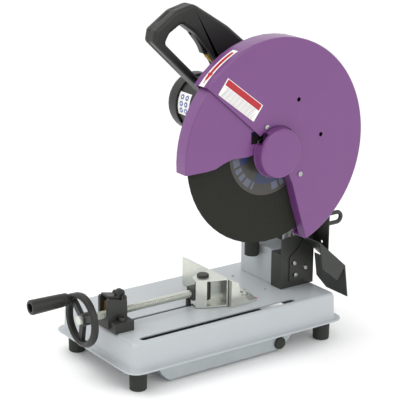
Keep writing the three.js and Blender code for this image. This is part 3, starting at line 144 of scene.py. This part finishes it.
def apply_modifier(piece, kind, **settings):
    only(piece)
    modifier = piece.modifiers.new(kind.lower(), kind)
    for key, value in settings.items():
        setattr(modifier, key, value)
    bpy.ops.object.modifier_apply(modifier=modifier.name)


def smooth(piece, degrees=35):
    only(piece)
    bpy.ops.object.shade_smooth_by_angle(angle=math.radians(degrees))
    apply_modifier(piece, "WEIGHTED_NORMAL", keep_sharp=True)


def bake_place(piece):
    """Moves a piece's place into its mesh, so that the object sits at the origin."""
    only(piece)
    bpy.ops.object.transform_apply(location=True, rotation=True, scale=True)


def copy_of(node, name, joined=True):
    """A clean copy of a part's mesh, with its flat areas joined unless they have to stay as triangles."""
    piece = nodes[node].copy()
    piece.data = nodes[node].data.copy()
    piece.parent = None
    piece.name = piece.data.name = name
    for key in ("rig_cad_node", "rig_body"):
        if key in piece:
            del piece[key]
    bpy.context.scene.collection.objects.link(piece)
    edit(piece)
    bpy.ops.mesh.remove_doubles(threshold=0.01 * MM)
    if joined:
        bpy.ops.mesh.dissolve_limited(angle_limit=math.radians(1))
    done()
    return piece


def soften(piece, width, segments=2, degrees=35):
    apply_modifier(piece, "BEVEL", width=width, segments=segments, limit_method="ANGLE",
                   angle_limit=math.radians(40), use_clamp_overlap=True)
    smooth(piece, degrees)


def new_piece(name, maker, **settings):
    bpy.ops.object.select_all(action="DESELECT")
    maker(**settings)
    piece = bpy.context.active_object
    piece.name = piece.data.name = name
    return piece


# Turns that point a piece's own Z along each direction.
TURN = {
    "+x": Matrix.Rotation(math.radians(90), 4, "Y"),
    "-x": Matrix.Rotation(math.radians(-90), 4, "Y"),
    "-y": Matrix.Rotation(math.radians(90), 4, "X"),
    "+y": Matrix.Rotation(math.radians(-90), 4, "X"),
    "+z": Matrix.Identity(4),
    "-z": Matrix.Rotation(math.radians(180), 4, "X"),
}

# %% [markdown]
# ## Finishes
# Real finishes are never one flat colour. Paint has a faint waviness, plating varies in tone, and moulded
# plastic has a fine grain. Each material starts from what the surface is and how it was made, and its
# pattern sizes are real ones in millimetres.


# %% A node, a colour and a grained surface
def linear(hex_colour):
    """sRGB hex to the linear colour that a shader takes."""
    value = [int(hex_colour[i:i + 2], 16) / 255 for i in (1, 3, 5)]
    return [c / 12.92 if c <= 0.04045 else ((c + 0.055) / 1.055) ** 2.4 for c in value] + [1.0]


def add_node(tree, kind, settings=None, links=None):
    """Adds one node, sets its properties and inputs, and links other nodes' outputs to it."""
    node = tree.nodes.new(kind)
    for key, value in (settings or {}).items():
        if hasattr(node, key) and key not in node.inputs:
            setattr(node, key, value)
        else:
            node.inputs[key].default_value = value
    for key, (source, output) in (links or {}).items():
        tree.links.new(source.outputs[output], node.inputs[key])
    return node


def surface(name, colour, other, roughness, metallic=0.0, grain_mm=1.0, grain_bump=0.05, blotch_mm=60,
            rough_swing=0.08, coat=0.0, specular=0.5, stretch=(1, 1, 1)):
    """A surface whose tone and gloss drift slowly, with a finer grain raised on it."""
    material = bpy.data.materials.new(name)
    material.use_nodes = True
    tree = material.node_tree
    tree.nodes.clear()
    place = add_node(tree, "ShaderNodeTexCoord")
    mapping = add_node(tree, "ShaderNodeMapping", {"Scale": stretch}, {"Vector": (place, "Object")})
    blotch = add_node(tree, "ShaderNodeTexNoise", {"Scale": 1000 / blotch_mm, "Detail": 4.0},
                      {"Vector": (mapping, "Vector")})
    grain = add_node(tree, "ShaderNodeTexNoise", {"Scale": 1000 / grain_mm, "Detail": 2.0},
                     {"Vector": (mapping, "Vector")})
    tone = add_node(tree, "ShaderNodeMix", {"data_type": "RGBA"}, {"Factor": (blotch, "Fac")})
    tone.inputs[6].default_value = linear(colour)
    tone.inputs[7].default_value = linear(other)
    gloss = add_node(tree, "ShaderNodeMapRange",
                     {"To Min": roughness - rough_swing, "To Max": roughness + rough_swing},
                     {"Value": (grain, "Fac")})
    bump = add_node(tree, "ShaderNodeBump", {"Strength": grain_bump, "Distance": 0.2 * MM},
                    {"Height": (grain, "Fac")})
    shader = add_node(tree, "ShaderNodeBsdfPrincipled",
                      {"Metallic": metallic, "Coat Weight": coat, "Coat Roughness": 0.15,
                       "Specular IOR Level": specular},
                      {"Roughness": (gloss, "Result"), "Normal": (bump, "Normal")})
    tree.links.new(tone.outputs[2], shader.inputs["Base Color"])
    add_node(tree, "ShaderNodeOutputMaterial", None, {"Surface": (shader, "BSDF")})
    return material


# %% The saw's finishes
FINISHES = {
    # Stoved enamel, sprayed: a soft shine over a faint orange-peel texture of about 1.5 mm.
    "purple": surface("purple_enamel", "#6E3D78", "#73427D", 0.34, grain_mm=1.5, grain_bump=0.04,
                      rough_swing=0.04, coat=0.15),
    "enamel": surface("light_grey_enamel", "#B6BBBE", "#B0B6B9", 0.36, grain_mm=1.6, grain_bump=0.05,
                      rough_swing=0.05),
    # Bare galvanised sheet: dull, with the slow tone changes of its rolling.
    "pan_steel": surface("rolled_steel_sheet", "#B4BBBC", "#A3A9AB", 0.45, metallic=0.35, grain_mm=0.8,
                         blotch_mm=35),
    "black_paint": surface("black_paint", "#272A25", "#30322D", 0.42, grain_mm=1.2, grain_bump=0.08),
    # Sand-cast iron under paint: the sand's grain still shows as a rough surface.
    "black_casting": surface("painted_casting", "#242522", "#31332E", 0.5, grain_mm=1.4, grain_bump=0.35),
    "rubber": surface("moulded_rubber", "#2C2F2B", "#353733", 0.75, grain_mm=0.8, grain_bump=0.15,
                      specular=0.3),
    # Zinc plate: bright, with a faint yellow-green tint and cloudy patches.
    "zinc": surface("zinc_plate", "#D8DAD4", "#C6CABF", 0.3, metallic=0.85, grain_mm=0.9, blotch_mm=18,
                    rough_swing=0.12),
    "steel": surface("machined_steel", "#C2C3C1", "#A9ABAA", 0.28, metallic=0.95, grain_mm=0.5, blotch_mm=12,
                     stretch=(1, 6, 6)),
    "bronze": surface("plain_bronze", "#B08A4A", "#9A7740", 0.4, metallic=0.9, grain_mm=0.7),
    "copper": surface("varnished_winding", "#9A5634", "#7F4528", 0.4, metallic=0.6, grain_mm=0.8),
    "black_plastic": surface("moulded_nylon", "#191A17", "#20211E", 0.42, grain_mm=0.9, grain_bump=0.2,
                             specular=0.45),
    "yellow_plastic": surface("moulded_acetal", "#C9A838", "#BD9C30", 0.4, grain_mm=0.9),
    "carbon": surface("pressed_carbon", "#161616", "#202020", 0.6, grain_mm=0.5),
    # Grit held in resin: coarse, matt and speckled. The grit is drawn about three times its 0.7 mm, to show.
    "abrasive": surface("bonded_abrasive", "#21221D", "#2A2B26", 0.85, grain_mm=2.0, grain_bump=0.9,
                        blotch_mm=6, specular=0.25),
}
slots = {row["node"]: row["material_slot"] for row in frame["record"]["subparts"]}
for node, part in nodes.items():
    part.data.materials.clear()
    part.data.materials.append(FINISHES[slots[node]])
print("finishes:", len(FINISHES))

# %% [markdown]
# ## Finished copies of the parts
# Nearly every edge on a real machine is broken: castings have generous radii, sheet has a rolled-over
# edge, and moulded plastic is rounded to the touch. Each visible part is copied, its edges are bevelled
# by what its maker would leave, and the copy stands in for the part.

# %% Soften the edges
EDGE_MM = {
    "base_tray": 0.5, "pivot_bracket": 0.8, "chip_pan": 0.4, "pan_plug": 0.8, "stop_buffer": 1.0,
    "chute_bracket": 0.5, "spark_chute": 0.5, "chain_eye": 0.6,
    "fence": 0.7, "fence_pivot_bolt": 0.6, "fence_clamp_bolt": 0.6, "vice_jaw": 0.6, "jaw_pin": 0.8,
    "screw_block": 1.2, "crank_grip": 0.8, "vice_bracket": 1.6, "half_nut": 0.4, "release_lever": 1.0,
    "spindle": 0.3, "inner_flange": 0.5, "cutting_wheel": 0.3, "outer_flange": 0.5, "arbor_bolt": 0.5,
    "guard_back_plate": 0.4, "hub_cap": 0.6, "motor_housing": 0.8, "motor_end_cap": 1.2,
    "brush_cap_lower": 0.6, "brush_cap_upper": 0.6, "swing_arm": 3.0, "gear_case": 3.0, "pivot_bolt": 0.8,
    "pivot_nut": 0.8, "trigger": 2.0, "lock_off_button": 1.6, "cord_gland": 0.8, "handwheel": 1.0,
    "foot_front_left": 0.6, "foot_front_right": 0.6, "foot_rear_left": 0.6, "foot_rear_right": 0.6,
}
bodies = frame["record"]["behaviour"]["bodies"]
body_of = {node: body for body, members in bodies.items() for node in members}


def stand_in(piece, node, slot=None):
    """The finished piece takes the part's place, its body and its finish."""
    piece.data.materials.clear()
    piece.data.materials.append(FINISHES[slot or slots[node]])
    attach(piece, body_of[node])
    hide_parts(node)


for node, edge in EDGE_MM.items():
    piece = copy_of(node, node + "_finished")
    soften(piece, edge * MM)
    stand_in(piece, node)
print("softened parts:", len(EDGE_MM))

# %% [markdown]
# ## Wheel guard
# Each guard is one pressing: a flat cheek whose rim turns over a rounded bend into a deep band. The bend
# is what catches the light. A drum with a rounded edge is kept where it meets the guard, which rounds
# only the rim and leaves the rest as thin sheet.

# %% Round the guards' bends
def round_bend(node, centre, radius, bend):
    """Trims a guard's rim with a drum whose edge is already rounded."""
    piece = copy_of(node, node + "_finished", joined=False)
    low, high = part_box(node)
    depth = high.x - low.x + 20 * MM
    drum = new_piece("drum", bpy.ops.mesh.primitive_cylinder_add, radius=radius + 0.05 * MM, depth=depth,
                     vertices=144)
    edit(drum, "DESELECT", "EDGE")
    pick(drum, lambda edge: all(vert.co.z > depth / 2 - 1e-6 for vert in edge.verts), "edges")
    bpy.ops.mesh.bevel(offset=bend, segments=6, profile=0.5)
    done()
    drum.matrix_world = Matrix.Translation((high.x + 0.02 * MM - depth / 2, centre.y, centre.z)) @ TURN["+x"]
    bake_place(drum)
    apply_modifier(piece, "BOOLEAN", operation="INTERSECT", object=drum, solver="EXACT")
    bpy.data.objects.remove(drum)
    smooth(piece, 35)
    stand_in(piece, node)
    print(node, "faces:", len(piece.data.polygons))


UPPER_BEND = 4.5 * MM
LOWER_BEND = 3.5 * MM
round_bend("upper_guard", GUARD_CENTRE, GUARD_RADIUS, UPPER_BEND)
round_bend("lower_guard", SPINDLE, LOWER_GUARD_RADIUS, LOWER_BEND)

# %% [markdown]
# ## D-handle
# The handle is moulded in two halves that meet on a line down its middle. Its outer edges are well
# rounded for the hand, but the edges at the joint stay crisp, so the parting line shows.


# %% Round the handle's halves
def handle_half(node, outer_x):
    """Rounds the outer edge of one half, leaving the edge at the joint crisp."""
    piece = copy_of(node, node + "_finished", joined=False)
    edit(piece, "DESELECT", "EDGE")

    def outline(edge):
        flat = all(abs(v.co.x - outer_x) < 0.05 * MM for v in edge.verts)
        if not flat or not edge.is_manifold or edge.calc_face_angle(0) < math.radians(60):
            return False
        halfway = (edge.verts[0].co + edge.verts[1].co) / 2
        return all(math.hypot(halfway.y - y, halfway.z - z) > 5 * MM for y, z in SCREW_SPOTS)

    rim = pick(piece, outline, "edges")
    bpy.ops.mesh.bevel(offset=HANDLE_ROUND, segments=6, profile=0.5, loop_slide=False)
    done()
    smooth(piece, 40)
    stand_in(piece, node)
    return rim


# How far in from its sides the handle's rounded edge begins.
HANDLE_ROUND = 6.5 * MM
# The motor's axis and the handle's four screws, in the base's own millimetres.
MOTOR_AXIS = (63.97, 450.32)
SCREW_SPOTS = [(MOTOR.y + (y - MOTOR_AXIS[0]) * MM, MOTOR.z + (z - MOTOR_AXIS[1]) * MM)
               for y, z in ((-62, 648), (64, 583), (84, 511), (12, 496))]
HANDLE_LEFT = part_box("handle_left")[0].x
HANDLE_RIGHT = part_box("handle_right")[1].x
print("handle left:", handle_half("handle_left", HANDLE_LEFT))
print("handle right:", handle_half("handle_right", HANDLE_RIGHT))


# %% [markdown]
# ## Screws and nuts
# A cross-recess screw head is a low dome with a cross sunk in it. One is modelled from a cylinder: its
# top is inset and lifted into a dome, and two thin bars are cut out of it. It is then copied to each
# place.


# %% Model one screw head, facing up
def cross_head(name, radius, height):
    piece = new_piece(name, bpy.ops.mesh.primitive_cylinder_add, radius=radius, depth=height, vertices=32)
    edit(piece, "DESELECT", "FACE")
    for inset, lift in ((0.3, 0.22), (0.3, 0.1)):
        top = max(v.co.z for v in bmesh.from_edit_mesh(piece.data).verts)
        pick(piece, lambda face: face.normal.z > 0.9 and face.calc_center_median().z > top - 1e-6)
        bpy.ops.mesh.inset(thickness=radius * inset)
        bpy.ops.transform.translate(value=(0, 0, height * lift))
    done()
    for turn in (0, 90):
        bar = new_piece("bar", bpy.ops.mesh.primitive_cube_add, size=1)
        bar.scale = (radius * 1.2, radius * 0.26, height * 1.1)
        bar.rotation_euler = (0, 0, math.radians(turn))
        bar.location = (0, 0, height * 0.95)
        bake_place(bar)
        apply_modifier(piece, "BOOLEAN", operation="DIFFERENCE", object=bar, solver="EXACT")
        bpy.data.objects.remove(bar)
    return piece


def put_copy(pattern, name, at, facing, body, slot):
    """A copy of a pattern piece, turned to face one way, with its own mesh."""
    piece = pattern.copy()
    piece.data = pattern.data.copy()
    piece.name = piece.data.name = name
    bpy.context.scene.collection.objects.link(piece)
    piece.matrix_world = Matrix.Translation(at) @ TURN[facing]
    bake_place(piece)
    smooth(piece)
    piece.data.materials.clear()
    piece.data.materials.append(FINISHES[slot])
    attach(piece, body)
    return piece


head = cross_head("screw_pattern", 4.6 * MM, 2.2 * MM)


def row_point(x, y, z):
    """A point given in the base's own millimetres, in the row's frame."""
    return Vector((SPINDLE.x + (x - 106) * MM, SPINDLE.y + (y - 70.3) * MM, SPINDLE.z + (z - 403.5) * MM))


CHUTE_OUTER = row_point(54.3, 0, 0).x
places = [("chute_screw_%d" % (i + 1), row_point(0, y, z), CHUTE_OUTER, "base")
          for i, (y, z) in enumerate(((183.5, 145), (211.4, 131), (186.8, 119.5)))]
places += [("guard_screw_%d" % (i + 1), row_point(0, y, z), GUARD_FACE, "head")
           for i, (y, z) in enumerate(((47.4, 452.4), (126.6, 353.1)))]
for name, at, face, body in places:
    put_copy(head, name, Vector((face + 1.2 * MM, at.y, at.z)), "+x", body, "steel")
# The handle's screws go in from its left side, where their heads sit level with the plastic.
for i, (y, z) in enumerate(SCREW_SPOTS):
    put_copy(head, "handle_screw_%d" % (i + 1), Vector((HANDLE_LEFT, y, z)), "-x", "head", "steel")
bpy.data.objects.remove(head)
print("screws placed:", len(places) + len(SCREW_SPOTS))


# %% Nuts and socket screws
def socket_head(name, radius, height):
    """A round-headed screw with a six-sided socket, facing up."""
    piece = new_piece(name, bpy.ops.mesh.primitive_cylinder_add, radius=radius, depth=height, vertices=32)
    key = new_piece("key", bpy.ops.mesh.primitive_cylinder_add, radius=radius * 0.58, depth=height,
                    vertices=6)
    key.location = (0, 0, height * 0.4)
    bake_place(key)
    apply_modifier(piece, "BOOLEAN", operation="DIFFERENCE", object=key, solver="EXACT")
    bpy.data.objects.remove(key)
    apply_modifier(piece, "BEVEL", width=0.5 * MM, segments=2, limit_method="ANGLE")
    return piece


def hex_nut(name, radius, height):
    """A six-sided nut with its corners chamfered, facing up."""
    piece = new_piece(name, bpy.ops.mesh.primitive_cylinder_add, radius=radius, depth=height, vertices=6)
    apply_modifier(piece, "BEVEL", width=0.7 * MM, segments=2, limit_method="ANGLE")
    return piece


cap = socket_head("cap_pattern", 6.5 * MM, 8 * MM)
bolt_y = row_point(0, -213, 0).y
for number, side in enumerate((-1, 1)):
    spot = Vector((SCREW.x + side * 26 * MM, bolt_y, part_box("base_tray")[1].z + 23 * MM))
    put_copy(cap, "bracket_screw_%d" % (number + 1), spot, "+z", "base", "black_paint")
bpy.data.objects.remove(cap)
nut = hex_nut("nut_pattern", 9.2 * MM, 7 * MM)
screw_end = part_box("vice_screw")[0].y - 1.5 * MM
put_copy(nut, "handwheel_nut", Vector((SCREW.x, screw_end, SCREW.z)), "-y", "screw", "zinc")
bpy.data.objects.remove(nut)

# %% [markdown]
# ## Vice screw
# The vice screw is a zinc-plated rod with a coarse thread. The thread is a real helix: one tooth's
# outline is swept round the axis by the Screw modifier, so its flanks climb as it turns.

# %% Cut the thread
PITCH = 4 * MM
low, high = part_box("vice_screw")
THREAD_FROM = low.y + 26 * MM
THREAD_TO = high.y - 20 * MM
turns = int((THREAD_TO - THREAD_FROM) / PITCH)
CREST = (high.x - low.x) / 2
ROOT = CREST - 1.5 * MM
thread = new_piece("thread", bpy.ops.mesh.primitive_plane_add, size=PITCH)
edit(thread, "DESELECT", "VERT")
pick(thread, lambda v: v.co.x > 0, "verts")
bpy.ops.mesh.delete(type="VERT")
bpy.ops.mesh.select_all(action="SELECT")
bpy.ops.mesh.subdivide(number_cuts=3)
done()
for vert in thread.data.vertices:
    along = (vert.co.y + PITCH / 2) / PITCH
    vert.co = (CREST if 0.2 < along < 0.6 else ROOT, 0, vert.co.y)
apply_modifier(thread, "SCREW", axis="Z", angle=2 * math.pi, steps=20, render_steps=20, screw_offset=PITCH,
               iterations=turns, use_merge_vertices=True, merge_threshold=0.01 * MM)
thread.matrix_world = Matrix.Translation((SCREW.x, THREAD_FROM + PITCH, SCREW.z)) @ TURN["+y"]
bake_place(thread)
rod = new_piece("vice_screw_finished", bpy.ops.mesh.primitive_cylinder_add, radius=ROOT - 0.05 * MM,
                depth=high.y - low.y, vertices=32)
rod.matrix_world = Matrix.Translation(((low.x + high.x) / 2, (low.y + high.y) / 2, SCREW.z)) @ TURN["+y"]
bake_place(rod)
for start, end in ((low.y + 22 * MM, THREAD_FROM + 2 * MM), (THREAD_TO - 3 * MM, high.y)):
    collar = new_piece("collar", bpy.ops.mesh.primitive_cylinder_add, radius=CREST, depth=end - start,
                       vertices=32)
    collar.matrix_world = Matrix.Translation((SCREW.x, (start + end) / 2, SCREW.z)) @ TURN["+y"]
    bake_place(collar)
    soften(collar, 0.6 * MM)
    collar.select_set(True)
    rod.select_set(True)
    bpy.context.view_layer.objects.active = rod
    bpy.ops.object.join()
bpy.ops.object.select_all(action="DESELECT")
thread.select_set(True)
rod.select_set(True)
bpy.context.view_layer.objects.active = rod
bpy.ops.object.join()
edit(rod)
bpy.ops.mesh.normals_make_consistent(inside=False)
done()
smooth(rod, 40)
stand_in(rod, "vice_screw")
print("thread turns:", turns)

# %% [markdown]
# ## Labels
# Printed labels are thin film. A small grid is enough: its squares take one colour or another, which
# gives a coloured band, an arrow and rows of plain dashes where a real label has its print.


# %% Print colours
def print_colour(name, hex_colour):
    return surface(name, hex_colour, hex_colour, 0.35, grain_mm=1.0, grain_bump=0.02, rough_swing=0.03)


WHITE = print_colour("label_white", "#E9E7E4")
RED = print_colour("label_red", "#AE1A26")
GREY_INK = print_colour("label_ink", "#78767C")
BLUE = print_colour("label_blue", "#3E5C9E")


def print_on(piece, body, colours, choose):
    """Gives each face of a label one of the colours, picked by its place on the label."""
    piece.data.materials.clear()
    for colour in colours:
        piece.data.materials.append(colour)
    for face in piece.data.polygons:
        face.material_index = choose(face)
    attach(piece, body)


# %% Warning label on the cheek
label = new_piece("cheek_label", bpy.ops.mesh.primitive_grid_add, x_subdivisions=80, y_subdivisions=32,
                  size=1)
LABEL_LONG, LABEL_HIGH = 98 * MM, 34 * MM
label_cells = [(face.center.x, face.center.y) for face in label.data.polygons]


def label_colour(face):
    along, up = label_cells[face.index]
    if abs(along) > 0.48 or abs(up) > 0.455:
        return 0
    if up > 0.14:
        return 1
    row = int((0.14 - up) * 32)
    inside = -0.44 < along < 0.42
    dash = math.sin(along * 61 + row * 2.3) > -0.55
    return 2 if row % 3 == 2 and inside and dash else 0


label.scale = (LABEL_LONG, LABEL_HIGH, 1)
bake_place(label)
centre = row_point(132.3, -11.5, 510)
LABEL_TILT = math.radians(-37.2)
# The label's long side runs along the cheek's front edge: its plane faces the wheel's side.
turn = Matrix.Rotation(LABEL_TILT, 4, "X") @ Matrix(((0, 0, 1, 0), (1, 0, 0, 0), (0, 1, 0, 0), (0, 0, 0, 1)))
label.matrix_world = Matrix.Translation(centre + Vector((LABEL_LIFT, 0, 0))) @ turn
bake_place(label)
print_on(label, "head", (WHITE, RED, GREY_INK), label_colour)

# %% Arrow label on the rim
strip = new_piece("rim_label", bpy.ops.mesh.primitive_plane_add, size=1)
edit(strip, "DESELECT", "VERT")
pick(strip, lambda v: v.co.y > 0, "verts")
bpy.ops.mesh.delete(type="VERT")
bpy.ops.mesh.select_all(action="SELECT")
bpy.ops.mesh.subdivide(number_cuts=11)
done()
STRIP_HALF = 7.5 * MM
STRIP_X = (GUARD_LEFT + GUARD_FACE) / 2 + 0.5 * MM
START, SWEEP = 114, 26
rim_radius = GUARD_RADIUS + LABEL_LIFT
start_angle = math.radians(START)
for vert in strip.data.vertices:
    vert.co = (STRIP_X + vert.co.x * 2 * STRIP_HALF,
               GUARD_CENTRE.y + rim_radius * math.cos(start_angle),
               GUARD_CENTRE.z + rim_radius * math.sin(start_angle))
edit(strip, "SELECT", "EDGE")
bpy.ops.mesh.spin(steps=28, angle=-math.radians(SWEEP), center=GUARD_CENTRE, axis=(1, 0, 0))
bpy.ops.mesh.select_all(action="SELECT")
bpy.ops.mesh.remove_doubles(threshold=0.01 * MM)
done()

def rim_angle(point):
    """Degrees round the guard's rim, measured from the back."""
    return math.degrees(math.atan2(point.z - GUARD_CENTRE.z, point.y - GUARD_CENTRE.y))


spun_to = max(rim_angle(vert.co) for vert in strip.data.vertices)
spun_from = min(rim_angle(vert.co) for vert in strip.data.vertices)
print("rim label spans", round(spun_from), "to", round(spun_to))


def arrow_colour(face):
    across = abs(face.center.x - STRIP_X) / STRIP_HALF
    along = (rim_angle(face.center) - spun_from) / (spun_to - spun_from)
    if across > 0.86 or along < 0.04 or along > 0.96:
        return 0
    if 0.68 < along < 0.95:
        return 1 if across < (0.95 - along) * 3.2 else 0
    return 1 if 0.06 < along <= 0.68 and across < 0.42 else 0


print_on(strip, "head", (WHITE, RED), arrow_colour)

# %% Wheel label
# Paper disc on the wheel: a grey-brown outer ring with pale blue blocks, and a blue inner ring.
disc = new_piece("wheel_label", bpy.ops.mesh.primitive_circle_add, radius=87 * MM, vertices=96,
                 fill_type="NOTHING")
edit(disc, "SELECT", "EDGE")
radii = [87, 80, 66, 58, 44, 31]
for wider, narrower in zip(radii, radii[1:]):
    bpy.ops.mesh.extrude_edges_move()
    ratio = narrower / wider
    bpy.ops.transform.resize(value=(ratio, ratio, ratio))
done()
disc.matrix_world = Matrix.Translation((WHEEL_FACE + 0.25 * MM, SPINDLE.y, SPINDLE.z)) @ TURN["+x"]
bake_place(disc)
PAPER = print_colour("label_paper", "#3E3B36")
PALE_BLUE = print_colour("label_pale_blue", "#5A5F70")
DARK_BLUE = print_colour("label_dark_blue", "#2C3658")


def disc_colour(face):
    y, z = face.center.y - SPINDLE.y, face.center.z - SPINDLE.z
    reach = math.hypot(y, z) / MM
    step = int((math.degrees(math.atan2(z, y)) % 360) / 3.75)
    if 66 < reach < 80 and step % 24 in (2, 3, 4, 6, 7, 9, 10, 12, 13, 14, 16):
        return 1
    if 44 < reach < 66:
        return 2 if step % 32 < 22 else 0
    return 0


print_on(disc, "wheel", (PAPER, PALE_BLUE, DARK_BLUE), disc_colour)
if disc.data.polygons[0].normal.x < 0:
    edit(disc)
    bpy.ops.mesh.flip_normals()
    done()

# %% Label on the motor, with round signs
SHELL_RADIUS = 52 * MM
SIGN_ANGLES = (187, 173, 159)
LABEL_LEFT, LABEL_RIGHT = row_point(-97, 0, 0).x, row_point(-60, 0, 0).x
paper = new_piece("motor_label", bpy.ops.mesh.primitive_plane_add, size=1)
edit(paper, "DESELECT", "VERT")
pick(paper, lambda v: v.co.y > 0, "verts")
bpy.ops.mesh.delete(type="VERT")
done()
LABEL_START, LABEL_END = math.radians(149), math.radians(197)
for vert in paper.data.vertices:
    vert.co = (LABEL_LEFT if vert.co.x < 0 else LABEL_RIGHT,
               MOTOR.y + (SHELL_RADIUS + 0.3 * MM) * math.cos(LABEL_START),
               MOTOR.z + (SHELL_RADIUS + 0.3 * MM) * math.sin(LABEL_START))
edit(paper, "SELECT", "EDGE")
bpy.ops.mesh.spin(steps=16, angle=LABEL_END - LABEL_START, center=MOTOR, axis=(-1, 0, 0))
done()
print_on(paper, "head", (WHITE,), lambda face: 0)
for row, spot_x in enumerate((LABEL_LEFT + 11 * MM, LABEL_RIGHT - 11 * MM)):
    for number, angle in enumerate(SIGN_ANGLES):
        sign = new_piece("motor_sign_%d" % (row * len(SIGN_ANGLES) + number + 1),
                         bpy.ops.mesh.primitive_circle_add, radius=5 * MM, vertices=32, fill_type="NGON")
        edit(sign, "SELECT", "FACE")
        bpy.ops.mesh.inset(thickness=2.8 * MM)
        done()
        out = math.radians(angle)
        normal = Vector((0, math.cos(out), math.sin(out)))
        spot = Vector((spot_x, MOTOR.y, MOTOR.z)) + normal * (SHELL_RADIUS + 0.7 * MM)
        sign.matrix_world = Matrix.Translation(spot) @ normal.to_track_quat("Z", "X").to_matrix().to_4x4()
        bake_place(sign)
        # The middle face has the most corners, and stays white.
        print_on(sign, "head", (BLUE, WHITE), lambda face: int(len(face.vertices) > 4))

# %% Red tick on the table
tick = new_piece("table_mark", bpy.ops.mesh.primitive_grid_add, x_subdivisions=4, y_subdivisions=2, size=1)
tick.scale = (11 * MM, 3.5 * MM, 1)
tick.rotation_euler = (0, 0, math.radians(20))
tick.location = row_point(58, 86, 94.6) + Vector((0, 0, 0.3 * MM))
bake_place(tick)
print_on(tick, "base", (RED,), lambda face: 0)

# %% [markdown]
# ## Floor, light and camera
# A pale floor and large soft lamps show the shapes without hard shadows. The camera is a long lens, well
# back.

# %% Floor and lamps
floor = new_piece("floor", bpy.ops.mesh.primitive_plane_add, size=30)
floor.data.materials.append(surface("pale_floor", "#FFFFFF", "#FDFDFD", 0.8, grain_mm=3, grain_bump=0.0))

world = bpy.data.worlds.new("studio")
world.use_nodes = True
world.node_tree.nodes["Background"].inputs["Color"].default_value = (1, 1, 1, 1)
world.node_tree.nodes["Background"].inputs["Strength"].default_value = 1.0
bpy.context.scene.world = world
bpy.context.scene.view_settings.view_transform = "Standard"


def lamp(name, at, size, power):
    light = bpy.data.lights.new(name, "AREA")
    light.size = size
    light.energy = power
    holder = bpy.data.objects.new(name, light)
    bpy.context.scene.collection.objects.link(holder)
    holder.location = at
    holder.rotation_euler = (Vector((0, 0, 0.25)) - Vector(at)).to_track_quat("-Z", "Y").to_euler()
    return holder


lamp("key_lamp", (-0.6, -1.2, 2.4), 1.6, 22)
lamp("side_lamp", (2.4, 0.4, 1.6), 1.4, 12)

# %% Camera
AZIMUTH, ELEVATION, ROLL = math.radians(54.662), math.radians(17.358), math.radians(0.471)
back = Vector((math.sin(AZIMUTH) * math.cos(ELEVATION), -math.cos(AZIMUTH) * math.cos(ELEVATION),
               math.sin(ELEVATION)))
right = Vector((math.cos(AZIMUTH), math.sin(AZIMUTH), 0))
up = back.cross(right)
level_right = math.cos(ROLL) * right + math.sin(ROLL) * up
level_up = -math.sin(ROLL) * right + math.cos(ROLL) * up
camera_data = bpy.data.cameras.new("camera")
camera_data.lens = 133.575
camera_data.sensor_width = 36
camera_data.clip_end = 100
camera = bpy.data.objects.new("camera", camera_data)
bpy.context.scene.collection.objects.link(camera)
where = row_point(-7.03, 1.22, 288.03) + back * 2784.47 * MM
rotation = Matrix((level_right, level_up, back)).transposed().to_4x4()
camera.matrix_world = Matrix.Translation(where) @ rotation
bpy.context.scene.camera = camera

# %% Finish
bpy.context.view_layer.update()
